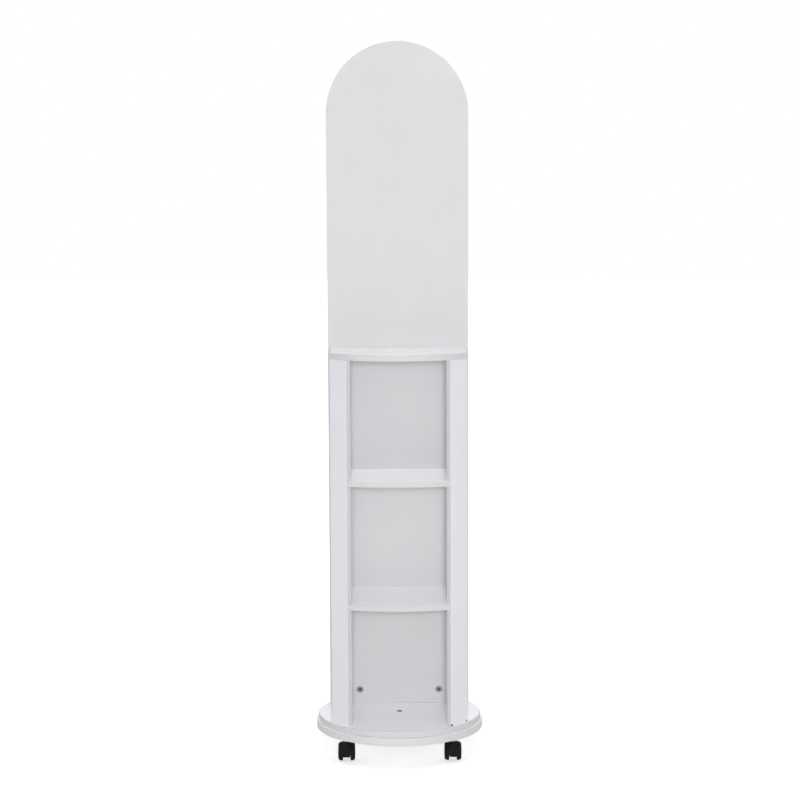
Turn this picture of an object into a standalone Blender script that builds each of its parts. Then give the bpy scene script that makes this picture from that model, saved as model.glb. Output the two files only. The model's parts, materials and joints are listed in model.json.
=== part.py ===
"""Rolling mirror with shelves.

An arched board with a mirror on its far side stands on a round two-layer base with four
twin-wheel casters. A shelf tower with slanted front corners stands in front of its lower half.
Metres, +Z up. The origin is on the floor under the middle of the base. The shelves face -Y and
the mirror faces +Y.
"""

import math

import bmesh
import bpy
from mathutils import Matrix, Vector

# Gaps
SEAT = 0.0003            # between pieces that rest on each other or sit in one another
RUN_GAP = 0.0005         # between a wheel and the hood's web beside it
WHEEL_GAP = 0.0012       # between a wheel's tread and the hood round it
OVERCUT = 0.002          # how far a cutter reaches past the face that it enters

# Arched board and mirror
PANEL_W = 0.340
PANEL_H = 1.610
PANEL_T = 0.015
PANEL_SETBACK = 0.080    # from the middle of the base back to the board's shelf face
GLASS_T = 0.004
GLASS_INSET = 0.005      # rim of the board that the glass leaves bare
TAPE_T = 0.001
TAPE_W = 0.025
TAPE_SPACING = PANEL_W / 2    # between the middles of the two strips
TAPE_END = 0.060         # from the glass's foot, and from the arch's spring line, to a strip's end

# Shelf tower
TOWER_INSET = 0.0095     # from the arched board's edges in to the tower's sides
TOWER_W = PANEL_W - 2 * TOWER_INSET
BOARD_T = 0.012          # side boards, stiles and middle shelves
TOP_T = 0.015
SIDE_REACH = 0.102       # from the middle of the base forward to the side boards' front corners
STILE_W = 0.062
STILE_TURN = math.radians(40)   # how far a stile turns inward from its side board
CLEAR_H = 0.279          # clear height of the lower and middle compartments
TOP_CLEAR_H = 0.282      # clear height of the upper compartment
SHELF_BOW = 0.022        # how far a middle shelf's front edge bows out
TOP_OVERHANG = 0.0042    # of the top shelf's round front past the stiles
BOARD_EDGE = 0.0008      # chamfer on the rims of boards and glass

# Base
UPPER_T = 0.015
LOWER_T = 0.018
BASE_MARGIN = 0.0005     # of the upper disc round whatever stands on it
LOWER_STEP = 0.005       # of the lower disc past the upper one
DISC_EDGE = 0.002        # rounding of the discs' rims
CENTRE_HOLE_D = 0.012

# Fasteners
CAM_D = 0.015
CAM_SETBACK = 0.034      # from a board's end to the middle of its cam lock
CAM_FLOOR = 0.003        # board left behind a cam lock
CAM_PROUD = 0.0004       # how far a cam lock stands out of its board
CAM_DRIVE_W = 0.0075     # across the cross recess
CAM_DRIVE_SLOT = 0.0018  # width and depth of the cross recess
BOARD_CAM_INSET = 0.0515    # from a side board's inner face to the arched board's cam lock
BOLT_D = 0.0062
BOLT_NECK_D = 0.004
BOLT_HEAD_L = 0.0035
BOLT_THREAD_D = 0.005
BOLT_THREAD_L = 0.010
DOWEL_D = 0.006
DOWEL_L = 0.028
DOWEL_FACE = 0.008       # dowel length in the board that is drilled through its face
DOWEL_CHAMFER = 0.0008
SIDE_DOWEL_INSET = 0.040    # from the ends of a side board's foot to its dowels
TOP_DOWEL_SPACING = 0.160
SCREW_D = 0.0045
SCREW_HEAD_D = 0.009
SCREW_BITE = 0.010       # of a base screw in the upper disc
SCREW_CIRCLE_R = 0.120

# Casters
WHEEL_R = 0.020
WHEEL_W = 0.011
WHEEL_ROUND = 0.0035     # rounding of the tread's outer edge
WHEEL_BEVEL = 0.001      # bevel on the tread's inner edge
WHEEL_DISH = 0.001       # how far the wheel's face lies below its rim
WHEEL_RIM = 0.007        # width of the rim round the dished face
WHEEL_CAP = 0.003        # wall that closes the axle's bore
WEB_W = 0.017            # of the hood, between the two wheels
WEB_CLEARANCE = 0.013    # from the floor to the web
HOOD_WALL = 0.0022       # at the hood's outer rims
HOOD_CROWN = 0.0015      # how much the hood swells from its rims to its middle
HOOD_EDGE = 0.0016       # rounding of the hood's outer rims
FENDER_FRONT = math.radians(185)    # where the fender ends, round the axle from the rear
FENDER_REAR = math.radians(40)
TRAIL = 0.015            # from the swivel axis back to the axle
NECK_H = 0.005           # of the stem boss above the fender
BOSS_WALL = 0.005        # round the stem
BOSS_DRAFT = 0.0005      # how much wider the boss is at the axle's height
AXLE_D = 0.005
STEM_D = 0.008
STEM_GROOVE = 0.0008
PIVOT_L = 0.020          # of the stem in the hood
THREAD_L = 0.0145        # of the stem above its collar
COLLAR_D = 0.016
COLLAR_H = 0.0045
INSERT_WALL = 0.0015
INSERT_L = 0.0150
FLANGE_D = 0.020
FLANGE_T = 0.0016
CASTER_INSET = 0.022     # from the lower disc's rim to a caster's stem

# Facets
DISC_STEPS = 60
RIM_STEPS = 2
ARCH_STEPS = 36
BOW_STEPS = 16
WHEEL_STEPS = 24
HOOD_STEPS = 28
BOSS_STEPS = 16
WELL_STEPS = 16
CAM_STEPS = 20
ROUND_STEPS = 12
DOWEL_STEPS = 10

# Heights, from the floor up
AXLE_Z = WHEEL_R
WHEEL_TIP_R = WHEEL_R / math.cos(math.pi / WHEEL_STEPS)
WELL_R = WHEEL_TIP_R + WHEEL_GAP
HOOD_RIM_R = WELL_R + HOOD_WALL
HOOD_R = HOOD_RIM_R + HOOD_CROWN
HOOD_TOP = AXLE_Z + HOOD_R + NECK_H
COLLAR_Z = HOOD_TOP + SEAT
FLANGE_Z = COLLAR_Z + COLLAR_H + SEAT
LOWER_Z = FLANGE_Z + FLANGE_T + SEAT
UPPER_Z = LOWER_Z + LOWER_T + SEAT
BASE_TOP = UPPER_Z + UPPER_T
FOOT_Z = BASE_TOP + SEAT
LOWER_SHELF_Z = BASE_TOP + CLEAR_H
UPPER_SHELF_Z = LOWER_SHELF_Z + BOARD_T + CLEAR_H
TOP_SHELF_Z = UPPER_SHELF_Z + BOARD_T + TOP_CLEAR_H

# Depths, from the shelf side back
SHELF_BACK = PANEL_SETBACK - SEAT
PANEL_BACK = PANEL_SETBACK + PANEL_T
TAPE_FACE = PANEL_BACK + SEAT
GLASS_FACE = TAPE_FACE + TAPE_T + SEAT

HOOD_W = WEB_W + 2 * (RUN_GAP + WHEEL_W)
BOSS_R = STEM_D / 2 + BOSS_WALL
BORE_DEPTH = WHEEL_W - WHEEL_DISH - WHEEL_CAP
SIDES = {"left": -1, "right": 1}


def corner_point(inward):
    """Where a side board and its stile meet, seen from above on the right, inward of their outer faces."""
    return (TOWER_W / 2 - inward, -SIDE_REACH + inward * math.tan(STILE_TURN / 2))


def stile_point(run, inward):
    """A point of the right stile: a run along its outer face from the corner, and inward of that face."""
    x = TOWER_W / 2 - run * math.sin(STILE_TURN) - inward * math.cos(STILE_TURN)
    y = -SIDE_REACH - run * math.cos(STILE_TURN) + inward * math.sin(STILE_TURN)
    return (x, y)


STILE_FRONT_R = math.hypot(*stile_point(STILE_W, 0))
STANDING_R = max(
    STILE_FRONT_R,
    math.hypot(*corner_point(0)),
    math.hypot(PANEL_W / 2, PANEL_BACK),
)
UPPER_R = STANDING_R + BASE_MARGIN
LOWER_R = UPPER_R + LOWER_STEP
TOP_FRONT_R = max(STILE_FRONT_R, math.hypot(*corner_point(0))) + TOP_OVERHANG
CASTER_XY = (LOWER_R - CASTER_INSET) / math.sqrt(2)


# Outlines

def arc(centre, radius, start, end, steps):
    """Points along an arc from one angle to another, both ends included."""
    points = []
    for step in range(steps + 1):
        angle = start + (end - start) * step / steps
        points.append((centre[0] + radius * math.cos(angle), centre[1] + radius * math.sin(angle)))
    return points


def mirrored(points):
    """The same outline on the other side of X = 0, running the same way round."""
    return [(-x, y) for x, y in reversed(points)]


def arch_outline(width, height):
    """A straight-sided outline with a half-round top, standing on y = 0."""
    radius = width / 2
    return [(-radius, 0), (radius, 0)] + arc((0, height - radius), radius, 0, math.pi, ARCH_STEPS)


def side_outline():
    """The right side board from above, mitred where the stile meets it."""
    mitre_gap = SEAT / math.cos(STILE_TURN / 2)
    outer_x, outer_y = corner_point(0)
    inner_x, inner_y = corner_point(BOARD_T)
    return [
        (outer_x, SHELF_BACK),
        (inner_x, SHELF_BACK),
        (inner_x, inner_y + mitre_gap),
        (outer_x, outer_y + mitre_gap),
    ]


def stile_outline():
    """The right stile from above: mitred at the side board, cut square at the front."""
    return [
        corner_point(0),
        corner_point(BOARD_T),
        stile_point(STILE_W, BOARD_T),
        stile_point(STILE_W, 0),
    ]


def middle_shelf_outline():
    """Between the side boards, notched round the stiles' ends, with a bowed front."""
    inside = BOARD_T + SEAT
    right = [
        stile_point(STILE_W + SEAT, inside),
        corner_point(inside),
        (TOWER_W / 2 - inside, SHELF_BACK),
    ]
    front_x, front_y = stile_point(STILE_W + SEAT, 0)
    radius = (front_x ** 2 + SHELF_BOW ** 2) / (2 * SHELF_BOW)
    centre = (0, front_y - SHELF_BOW + radius)
    half_angle = math.asin(front_x / radius)
    bow = arc(centre, radius, -math.pi / 2 - half_angle, -math.pi / 2 + half_angle, BOW_STEPS)
    return bow + right + mirrored(right)


def top_shelf_outline():
    """Over side boards and stiles, with a round front that follows the base."""
    half = TOWER_W / 2
    reach = math.acos(half / TOP_FRONT_R)
    front = arc((0, 0), TOP_FRONT_R, -math.pi + reach, -reach, BOW_STEPS)
    return front + [(half, SHELF_BACK), (-half, SHELF_BACK)]


def wheel_well_outline():
    """What the wheel clears from the hood, round the axle: under the fender, and all below its ends."""
    reach = 2 * HOOD_R
    points = arc((0, 0), WELL_R, FENDER_REAR, FENDER_FRONT, WELL_STEPS)
    points.append((reach * math.cos(FENDER_FRONT), reach * math.sin(FENDER_FRONT)))
    points.append((-reach, -reach))
    points.append((reach, -reach))
    points.append((reach * math.cos(FENDER_REAR), reach * math.sin(FENDER_REAR)))
    return points


# Frames for outlines and fasteners

def facing(x_axis, y_axis, z_axis):
    """A turn that takes local X, Y and Z to three world directions."""
    return Matrix((x_axis, y_axis, z_axis)).transposed().to_4x4()


UPRIGHT = facing((1, 0, 0), (0, 0, 1), (0, -1, 0))      # outline in XZ, thickness along -Y
ACROSS = facing((0, 1, 0), (0, 0, 1), (1, 0, 0))        # outline in YZ, thickness along X


def along(direction):
    """A turn that takes local Z to a direction."""
    return Vector((0, 0, 1)).rotation_difference(Vector(direction)).to_matrix().to_4x4()


# Scene, materials and building tools

for old in list(bpy.data.objects):
    bpy.data.objects.remove(old)

parts = bpy.data.collections.new("rolling_mirror_with_shelves")
cutters = bpy.data.collections.new("cutters")
bpy.context.scene.collection.children.link(parts)
bpy.context.scene.collection.children.link(cutters)


def finish(name, colour, roughness, metallic=0.0):
    material = bpy.data.materials.new(name)
    material.use_nodes = True
    shader = material.node_tree.nodes["Principled BSDF"]
    shader.inputs["Base Color"].default_value = (*colour, 1.0)
    shader.inputs["Roughness"].default_value = roughness
    shader.inputs["Metallic"].default_value = metallic
    return material


WHITE = finish("white_melamine", (0.80, 0.80, 0.80), 0.45)
SILVER = finish("mirror_silver", (0.90, 0.92, 0.92), 0.03, 1.0)
FOAM = finish("tape_foam", (0.85, 0.85, 0.82), 0.80)
BLACK = finish("black_nylon", (0.012, 0.011, 0.013), 0.40)
TREAD = finish("black_tread", (0.016, 0.016, 0.017), 0.60)
ZINC = finish("zinc_alloy", (0.45, 0.43, 0.39), 0.40, 1.0)
STEEL = finish("bright_steel", (0.60, 0.60, 0.61), 0.30, 1.0)
BEECH = finish("beech", (0.56, 0.38, 0.22), 0.60)


def add_object(name, mesh, material, collection, place):
    piece = bpy.data.objects.new(name, mesh)
    if material and not mesh.materials:
        mesh.materials.append(material)
    collection.objects.link(piece)
    piece.matrix_world = place
    return piece


def add_cutter(name, mesh, place):
    cutter = add_object(name, mesh, None, cutters, place)
    cutter.hide_render = True
    cutter.display_type = "WIRE"
    return cutter


def evaluated_mesh(source):
    """The source object's shape with its modifiers, as a mesh of its own, in its own frame."""
    bpy.context.view_layer.update()
    depsgraph = bpy.context.evaluated_depsgraph_get()
    mesh = bpy.data.meshes.new_from_object(source.evaluated_get(depsgraph))
    mesh.name = source.name
    return mesh


def weld(mesh):
    """Join points that lie on each other, drop edges inside flat faces, and turn the faces outward."""
    work = bmesh.new()
    work.from_mesh(mesh)
    bmesh.ops.remove_doubles(work, verts=work.verts, dist=1e-6)
    bmesh.ops.dissolve_limit(work, angle_limit=math.radians(0.5), verts=work.verts, edges=work.edges)
    bmesh.ops.recalc_face_normals(work, faces=work.faces)
    work.to_mesh(mesh)
    work.free()


def outline_mesh(name, outline, thickness):
    """A closed outline, filled and extruded half its thickness each way, with its caps welded on."""
    curve = bpy.data.curves.new(name, "CURVE")
    curve.dimensions = "2D"
    curve.fill_mode = "BOTH"
    curve.extrude = thickness / 2
    spline = curve.splines.new("POLY")
    spline.points.add(len(outline) - 1)
    for point, (x, y) in zip(spline.points, outline):
        point.co = (x, y, 0, 1)
    spline.use_cyclic_u = True
    drawn = bpy.data.objects.new(name, curve)
    cutters.objects.link(drawn)
    mesh = evaluated_mesh(drawn)
    bpy.data.objects.remove(drawn)
    weld(mesh)
    return mesh


def chamfer_rims(board, width):
    """Chamfer the rims of a board's two broad faces, and leave its upright corners sharp."""
    mesh = board.data
    weights = mesh.attributes.new("bevel_weight_edge", "FLOAT", "EDGE")
    for edge in mesh.edges:
        start, end = (mesh.vertices[i].co for i in edge.vertices)
        weights.data[edge.index].value = 1.0 if abs(start.z - end.z) < 1e-6 else 0.0
    bevel = board.modifiers.new("rim_chamfer", "BEVEL")
    bevel.limit_method = "WEIGHT"
    bevel.width = width
    bevel.segments = 1


def flat_board(name, outline, bottom, top, material=WHITE):
    """A board drawn from above, between two heights."""
    mesh = outline_mesh(name, outline, top - bottom)
    return add_object(name, mesh, material, parts, Matrix.Translation((0, 0, (bottom + top) / 2)))


def upright_board(name, outline, foot, front, thickness, material):
    """A board drawn from the front, standing at a height, its front face at a depth."""
    mesh = outline_mesh(name, outline, thickness)
    place = Matrix.Translation((0, front + thickness / 2, foot)) @ UPRIGHT
    return add_object(name, mesh, material, parts, place)


def turned_mesh(name, profile, steps, phase=0.0, closed=False):
    """A profile of (radius, height), running down its outer side, turned about Z, with plain flat ends."""
    mesh = bpy.data.meshes.new(name)
    points = [(r * math.cos(phase), r * math.sin(phase), z) for r, z in profile]
    edges = [(i, i + 1) for i in range(len(points) - 1)]
    if closed:
        edges.append((len(points) - 1, 0))
    mesh.from_pydata(points, edges, [])
    turned = bpy.data.objects.new(name, mesh)
    cutters.objects.link(turned)
    screw = turned.modifiers.new("turn", "SCREW")
    screw.angle = 2 * math.pi
    screw.steps = steps
    screw.render_steps = steps
    screw.use_merge_vertices = True
    screw.merge_threshold = 1e-6
    result = evaluated_mesh(turned)
    bpy.data.objects.remove(turned)
    work = bmesh.new()
    work.from_mesh(result)
    on_axis = [vert for vert in work.verts if math.hypot(vert.co.x, vert.co.y) < 1e-6]
    bmesh.ops.dissolve_verts(work, verts=on_axis)
    work.to_mesh(result)
    work.free()
    result.shade_smooth()
    result.set_sharp_from_angle(angle=math.radians(35))
    return result


def cylinder_mesh(name, radius, length, steps, taper=0.0):
    """A capped cylinder about Z, centred, wider at its lower end by the taper."""
    mesh = bpy.data.meshes.new(name)
    work = bmesh.new()
    bmesh.ops.create_cone(
        work, cap_ends=True, segments=steps, radius1=radius + taper, radius2=radius, depth=length
    )
    work.to_mesh(mesh)
    work.free()
    return mesh


def box_mesh(name, size):
    mesh = bpy.data.meshes.new(name)
    work = bmesh.new()
    bmesh.ops.create_cube(work, size=1.0, matrix=Matrix.Diagonal((*size, 1.0)))
    work.to_mesh(mesh)
    work.free()
    return mesh


def combine(target, operation, tool):
    boolean = target.modifiers.new(tool.name, "BOOLEAN")
    boolean.operation = operation
    boolean.object = tool


def drill(target, name, diameter, mouth, direction, depth, steps=ROUND_STEPS):
    """A round blind hole from its mouth along a direction."""
    direction = Vector(direction)
    mesh = cylinder_mesh(name, diameter / 2, depth + OVERCUT, steps)
    middle = Vector(mouth) + direction * (depth - OVERCUT) / 2
    combine(target, "DIFFERENCE", add_cutter(name, mesh, Matrix.Translation(middle) @ along(direction)))


# Base

def make_disc(name, radius, bottom, top):
    """A round board with rounded rims."""
    corner = math.pi / 2
    upper = arc((radius - DISC_EDGE, top - DISC_EDGE), DISC_EDGE, corner, 0, RIM_STEPS)
    lower = arc((radius - DISC_EDGE, bottom + DISC_EDGE), DISC_EDGE, 0, -corner, RIM_STEPS)
    mesh = turned_mesh(name, [(0, top)] + upper + lower + [(0, bottom)], DISC_STEPS)
    return add_object(name, mesh, WHITE, parts, Matrix.Identity(4))


def make_base():
    lower = make_disc("base_lower_disc", LOWER_R, LOWER_Z, LOWER_Z + LOWER_T)
    upper = make_disc("base_upper_disc", UPPER_R, UPPER_Z, BASE_TOP)
    drill(upper, "centre_hole", CENTRE_HOLE_D, (0, 0, BASE_TOP), (0, 0, -1), UPPER_T + OVERCUT)
    return lower, upper


def screw_profile(grow, tip, head):
    """A countersunk screw pointing up, or with some growth the hole that it needs."""
    shank_r = SCREW_D / 2 + grow
    head_r = SCREW_HEAD_D / 2 + grow
    return [(shank_r, tip), (shank_r, head + head_r - shank_r), (head_r, head), (0, head)]


def make_base_screws(lower, upper):
    tip = UPPER_Z + SCREW_BITE
    head = LOWER_Z + SEAT
    point = [(0, tip), (SCREW_D / 4, tip), (SCREW_D / 2, tip - SCREW_D)]
    screw_mesh = turned_mesh("base_screw", point + screw_profile(0, tip - SCREW_D, head)[1:], ROUND_STEPS)
    hole = [(0, UPPER_Z)] + screw_profile(SEAT, UPPER_Z, LOWER_Z)[:-1]
    hole += [(SCREW_HEAD_D / 2 + SEAT, LOWER_Z - OVERCUT), (0, LOWER_Z - OVERCUT)]
    hole_mesh = turned_mesh("base_screw_hole", hole, ROUND_STEPS)
    for number in (1, 2, 3):
        angle = math.pi / 2 + number * 2 * math.pi / 3
        spot = Vector((SCREW_CIRCLE_R * math.cos(angle), SCREW_CIRCLE_R * math.sin(angle), 0))
        place = Matrix.Translation(spot)
        add_object(f"base_screw_{number}", screw_mesh, STEEL, parts, place)
        combine(lower, "DIFFERENCE", add_cutter(f"base_screw_hole_{number}", hole_mesh, place))
        mouth = spot + Vector((0, 0, UPPER_Z))
        drill(upper, f"base_pilot_{number}", SCREW_D + 2 * SEAT, mouth, (0, 0, 1), SCREW_BITE + SEAT)


# Arched board and mirror

def make_arched_board():
    outline = arch_outline(PANEL_W, PANEL_H)
    board = upright_board("arched_board", outline, FOOT_Z, PANEL_SETBACK, PANEL_T, WHITE)
    chamfer_rims(board, BOARD_EDGE)
    return board


def make_mirror():
    glass_w = PANEL_W - 2 * GLASS_INSET
    glass_h = PANEL_H - 2 * GLASS_INSET
    glass_z = FOOT_Z + GLASS_INSET
    outline = arch_outline(glass_w, glass_h)
    glass = upright_board("mirror_glass", outline, glass_z, GLASS_FACE, GLASS_T, SILVER)
    chamfer_rims(glass, BOARD_EDGE)
    tape_h = glass_h - glass_w / 2 - 2 * TAPE_END
    strip = [(-TAPE_W / 2, 0), (TAPE_W / 2, 0), (TAPE_W / 2, tape_h), (-TAPE_W / 2, tape_h)]
    for side, sign in SIDES.items():
        middle = sign * TAPE_SPACING / 2
        outline = [(x + middle, y) for x, y in strip]
        upright_board(f"mirror_tape_{side}", outline, glass_z + TAPE_END, TAPE_FACE, TAPE_T, FOAM)


# Shelf tower

def make_tower_sides():
    boards = {}
    for side, sign in SIDES.items():
        board_line = side_outline()
        stile_line = stile_outline()
        if sign < 0:
            board_line = mirrored(board_line)
            stile_line = mirrored(stile_line)
        boards[side] = flat_board(f"side_board_{side}", board_line, FOOT_Z, TOP_SHELF_Z - SEAT)
        flat_board(f"front_stile_{side}", stile_line, FOOT_Z, TOP_SHELF_Z - SEAT)
    return boards


def make_shelves():
    shelves = {}
    for name, bottom in (("lower_shelf", LOWER_SHELF_Z), ("upper_shelf", UPPER_SHELF_Z)):
        shelves[name] = flat_board(name, middle_shelf_outline(), bottom, bottom + BOARD_T)
        chamfer_rims(shelves[name], BOARD_EDGE)
    top = flat_board("top_shelf", top_shelf_outline(), TOP_SHELF_Z, TOP_SHELF_Z + TOP_T)
    chamfer_rims(top, BOARD_EDGE)
    return shelves, top


# Dowels

def make_dowel_mesh():
    half = DOWEL_L / 2
    radius = DOWEL_D / 2
    inner = radius - DOWEL_CHAMFER
    profile = [(0, half), (inner, half), (radius, half - DOWEL_CHAMFER)]
    profile += [(radius, DOWEL_CHAMFER - half), (inner, -half), (0, -half)]
    return turned_mesh("dowel", profile, DOWEL_STEPS)


def dowel_joint(name, dowel_mesh, face_board, edge_board, mouth, direction):
    """A dowel from one board's face into another board's edge, with its two holes."""
    mouth = Vector(mouth)
    direction = Vector(direction)
    width = DOWEL_D + 2 * SEAT
    edge_depth = DOWEL_L - DOWEL_FACE
    drill(face_board, f"{name}_face_hole", width, mouth, -direction, DOWEL_FACE + SEAT, DOWEL_STEPS)
    drill(edge_board, f"{name}_edge_hole", width, mouth, direction, edge_depth + 2 * SEAT, DOWEL_STEPS)
    middle = mouth + direction * (DOWEL_L / 2 - DOWEL_FACE)
    add_object(name, dowel_mesh, BEECH, parts, Matrix.Translation(middle) @ along(direction))


def make_dowels(upper_disc, board, side_boards, shelves, top):
    mesh = make_dowel_mesh()
    side_middle = TOWER_W / 2 - BOARD_T / 2
    foot_front = corner_point(BOARD_T)[1] + SIDE_DOWEL_INSET
    foot_back = SHELF_BACK - SIDE_DOWEL_INSET
    shelf_y = (SHELF_BACK - SIDE_REACH) / 2
    for side, sign in SIDES.items():
        for place, y in (("front", foot_front), ("back", foot_back)):
            mouth = (sign * side_middle, y, BASE_TOP)
            dowel_joint(f"foot_dowel_{side}_{place}", mesh, upper_disc, side_boards[side], mouth, (0, 0, 1))
        for shelf_name, shelf in shelves.items():
            mouth = (sign * (TOWER_W / 2 - BOARD_T), shelf_y, shelf.location.z)
            dowel_joint(f"{shelf_name}_dowel_{side}", mesh, side_boards[side], shelf, mouth, (-sign, 0, 0))
        mouth = (sign * TOP_DOWEL_SPACING / 2, PANEL_SETBACK, top.location.z)
        dowel_joint(f"top_shelf_dowel_{side}", mesh, board, top, mouth, (0, -1, 0))
    for shelf_name, shelf in shelves.items():
        mouth = (0, PANEL_SETBACK, shelf.location.z)
        dowel_joint(f"{shelf_name}_dowel_back", mesh, board, shelf, mouth, (0, -1, 0))


# Cam locks

def make_cam_mesh(board_t):
    """A cam lock: a drum with a cross recess on its face (z = 0) and a slot for its bolt along +Y."""
    depth = board_t - CAM_FLOOR
    radius = CAM_D / 2
    rim = CAM_PROUD
    profile = [(0, rim), (radius - rim, rim), (radius, 0), (radius, -depth), (0, -depth)]
    drum = bpy.data.objects.new("cam_drum", turned_mesh("cam_drum", profile, CAM_STEPS))
    cutters.objects.link(drum)
    slot_w = BOLT_D + 4 * SEAT
    slot_top = -board_t / 2 + slot_w / 2
    slot_floor = -depth - OVERCUT
    slot_back = -BOLT_HEAD_L
    slot_end = radius + OVERCUT
    slot = box_mesh("cam_slot", (slot_w, slot_end - slot_back, slot_top - slot_floor))
    middle = Matrix.Translation((0, (slot_end + slot_back) / 2, (slot_top + slot_floor) / 2))
    tools = [add_cutter("cam_slot", slot, middle)]
    cross_depth = CAM_DRIVE_SLOT + OVERCUT
    lift = Matrix.Translation((0, 0, rim - CAM_DRIVE_SLOT + cross_depth / 2))
    cross_arms = {
        "cam_cross_x": (CAM_DRIVE_W, CAM_DRIVE_SLOT, cross_depth),
        "cam_cross_y": (CAM_DRIVE_SLOT, CAM_DRIVE_W, cross_depth),
    }
    for name, size in cross_arms.items():
        tools.append(add_cutter(name, box_mesh(name, size), lift))
    for tool in tools:
        combine(drum, "DIFFERENCE", tool)
    mesh = evaluated_mesh(drum)
    for used in [drum] + tools:
        bpy.data.objects.remove(used)
    return mesh


def make_bolt_mesh():
    """A cam bolt along Z, its head in the middle of the cam lock and its thread in the next board."""
    head_r = BOLT_D / 2
    neck_r = BOLT_NECK_D / 2
    thread_r = BOLT_THREAD_D / 2
    head_end = BOLT_HEAD_L / 2
    neck_end = CAM_D / 2
    tip = CAM_SETBACK + BOLT_THREAD_L
    profile = [(0, tip), (thread_r, tip), (thread_r, CAM_SETBACK)]
    profile += [(head_r, CAM_SETBACK), (head_r, neck_end), (neck_r, neck_end)]
    profile += [(neck_r, head_end), (head_r, head_end), (head_r, -head_end), (0, -head_end)]
    return turned_mesh("cam_bolt", profile, ROUND_STEPS)


def cam_joint(name, cam_mesh, bolt_mesh, board, next_board, frame, board_t):
    """A cam lock in a board's face and its bolt out of that board's end; the frame is the lock's own."""
    centre = frame.translation
    bolt_way = frame.col[1].to_3d()
    face_way = frame.col[2].to_3d()
    drill_depth = board_t - CAM_FLOOR + SEAT
    drill(board, f"{name}_cam_hole", CAM_D + 2 * SEAT, centre, -face_way, drill_depth, CAM_STEPS)
    axis_point = centre - face_way * board_t / 2
    end = axis_point + bolt_way * CAM_SETBACK
    drill(board, f"{name}_bolt_hole", BOLT_D + 2 * SEAT, end, -bolt_way, CAM_SETBACK)
    thread_d = BOLT_THREAD_D + 2 * SEAT
    next_face = end + bolt_way * SEAT
    drill(next_board, f"{name}_thread_hole", thread_d, next_face, bolt_way, BOLT_THREAD_L)
    kind, side = name.rsplit("_", 1)
    add_object(f"{kind}_cam_{side}", cam_mesh, ZINC, parts, frame)
    bolt_place = Matrix.Translation(axis_point) @ along(bolt_way)
    add_object(f"{kind}_cam_bolt_{side}", bolt_mesh, STEEL, parts, bolt_place)


def make_cams(upper_disc, board, side_boards, top):
    bolt_mesh = make_bolt_mesh()
    board_cam = make_cam_mesh(PANEL_T)
    side_cam = make_cam_mesh(BOARD_T)
    board_cam_x = TOWER_W / 2 - BOARD_T - BOARD_CAM_INSET
    for side, sign in SIDES.items():
        spot = (sign * board_cam_x, PANEL_SETBACK, FOOT_Z + CAM_SETBACK)
        frame = Matrix.Translation(spot) @ facing((-1, 0, 0), (0, 0, -1), (0, -1, 0))
        cam_joint(f"board_{side}", board_cam, bolt_mesh, board, upper_disc, frame, PANEL_T)
        side_y = (SHELF_BACK - SIDE_REACH) / 2
        spot = (sign * TOWER_W / 2, side_y, TOP_SHELF_Z - SEAT - CAM_SETBACK)
        frame = Matrix.Translation(spot) @ facing((0, sign, 0), (0, 0, 1), (sign, 0, 0))
        cam_joint(f"side_{side}", side_cam, bolt_mesh, side_boards[side], top, frame, BOARD_T)


# Casters: each piece is modelled round its own axis, then set under the base four times

def make_hood_mesh():
    """A crowned drum over both wheels with a stem boss, hollowed for the wheels beside a web."""
    half = HOOD_W / 2
    edge = arc((HOOD_RIM_R - HOOD_EDGE, half - HOOD_EDGE), HOOD_EDGE, math.pi / 2, 0, RIM_STEPS)
    profile = [(0, half)] + edge + [(HOOD_R, WEB_W / 2)]
    profile += [(radius, -z) for radius, z in reversed(profile)]
    drum_mesh = turned_mesh("hood", profile, HOOD_STEPS)
    axle_place = Matrix.Translation((0, TRAIL, AXLE_Z))
    drum_mesh.transform(axle_place @ along((1, 0, 0)))
    drum = add_cutter("hood", drum_mesh, Matrix.Identity(4))
    tools = []

    boss_h = HOOD_TOP - AXLE_Z
    boss_mesh = cylinder_mesh("boss", BOSS_R, boss_h, BOSS_STEPS, BOSS_DRAFT)
    tools.append(add_cutter("boss", boss_mesh, Matrix.Translation((0, 0, AXLE_Z + boss_h / 2))))
    combine(drum, "UNION", tools[-1])

    well_w = HOOD_W / 2 - WEB_W / 2 + OVERCUT
    well_mesh = outline_mesh("wheel_well", wheel_well_outline(), well_w)
    for side, sign in SIDES.items():
        place = Matrix.Translation((sign * (WEB_W + well_w) / 2, TRAIL, AXLE_Z)) @ ACROSS
        tools.append(add_cutter(f"wheel_well_{side}", well_mesh, place))
        combine(drum, "DIFFERENCE", tools[-1])

    under = box_mesh("under_web", (HOOD_W, 4 * HOOD_R, 2 * HOOD_R))
    tools.append(add_cutter("under_web", under, Matrix.Translation((0, TRAIL, WEB_CLEARANCE - HOOD_R))))
    combine(drum, "DIFFERENCE", tools[-1])

    bore_mesh = cylinder_mesh("axle_bore", AXLE_D / 2 + SEAT, HOOD_W, ROUND_STEPS)
    tools.append(add_cutter("axle_bore", bore_mesh, axle_place @ along((1, 0, 0))))
    combine(drum, "DIFFERENCE", tools[-1])

    pivot_depth = PIVOT_L + OVERCUT
    pivot_mesh = cylinder_mesh("stem_bore", STEM_D / 2 + SEAT, pivot_depth, ROUND_STEPS)
    pivot_place = Matrix.Translation((0, 0, HOOD_TOP + OVERCUT - pivot_depth / 2))
    tools.append(add_cutter("stem_bore", pivot_mesh, pivot_place))
    combine(drum, "DIFFERENCE", tools[-1])

    mesh = evaluated_mesh(drum)
    for used in [drum] + tools:
        bpy.data.objects.remove(used)
    weld(mesh)
    mesh.shade_smooth()
    mesh.set_sharp_from_angle(angle=math.radians(35))
    return mesh


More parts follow.
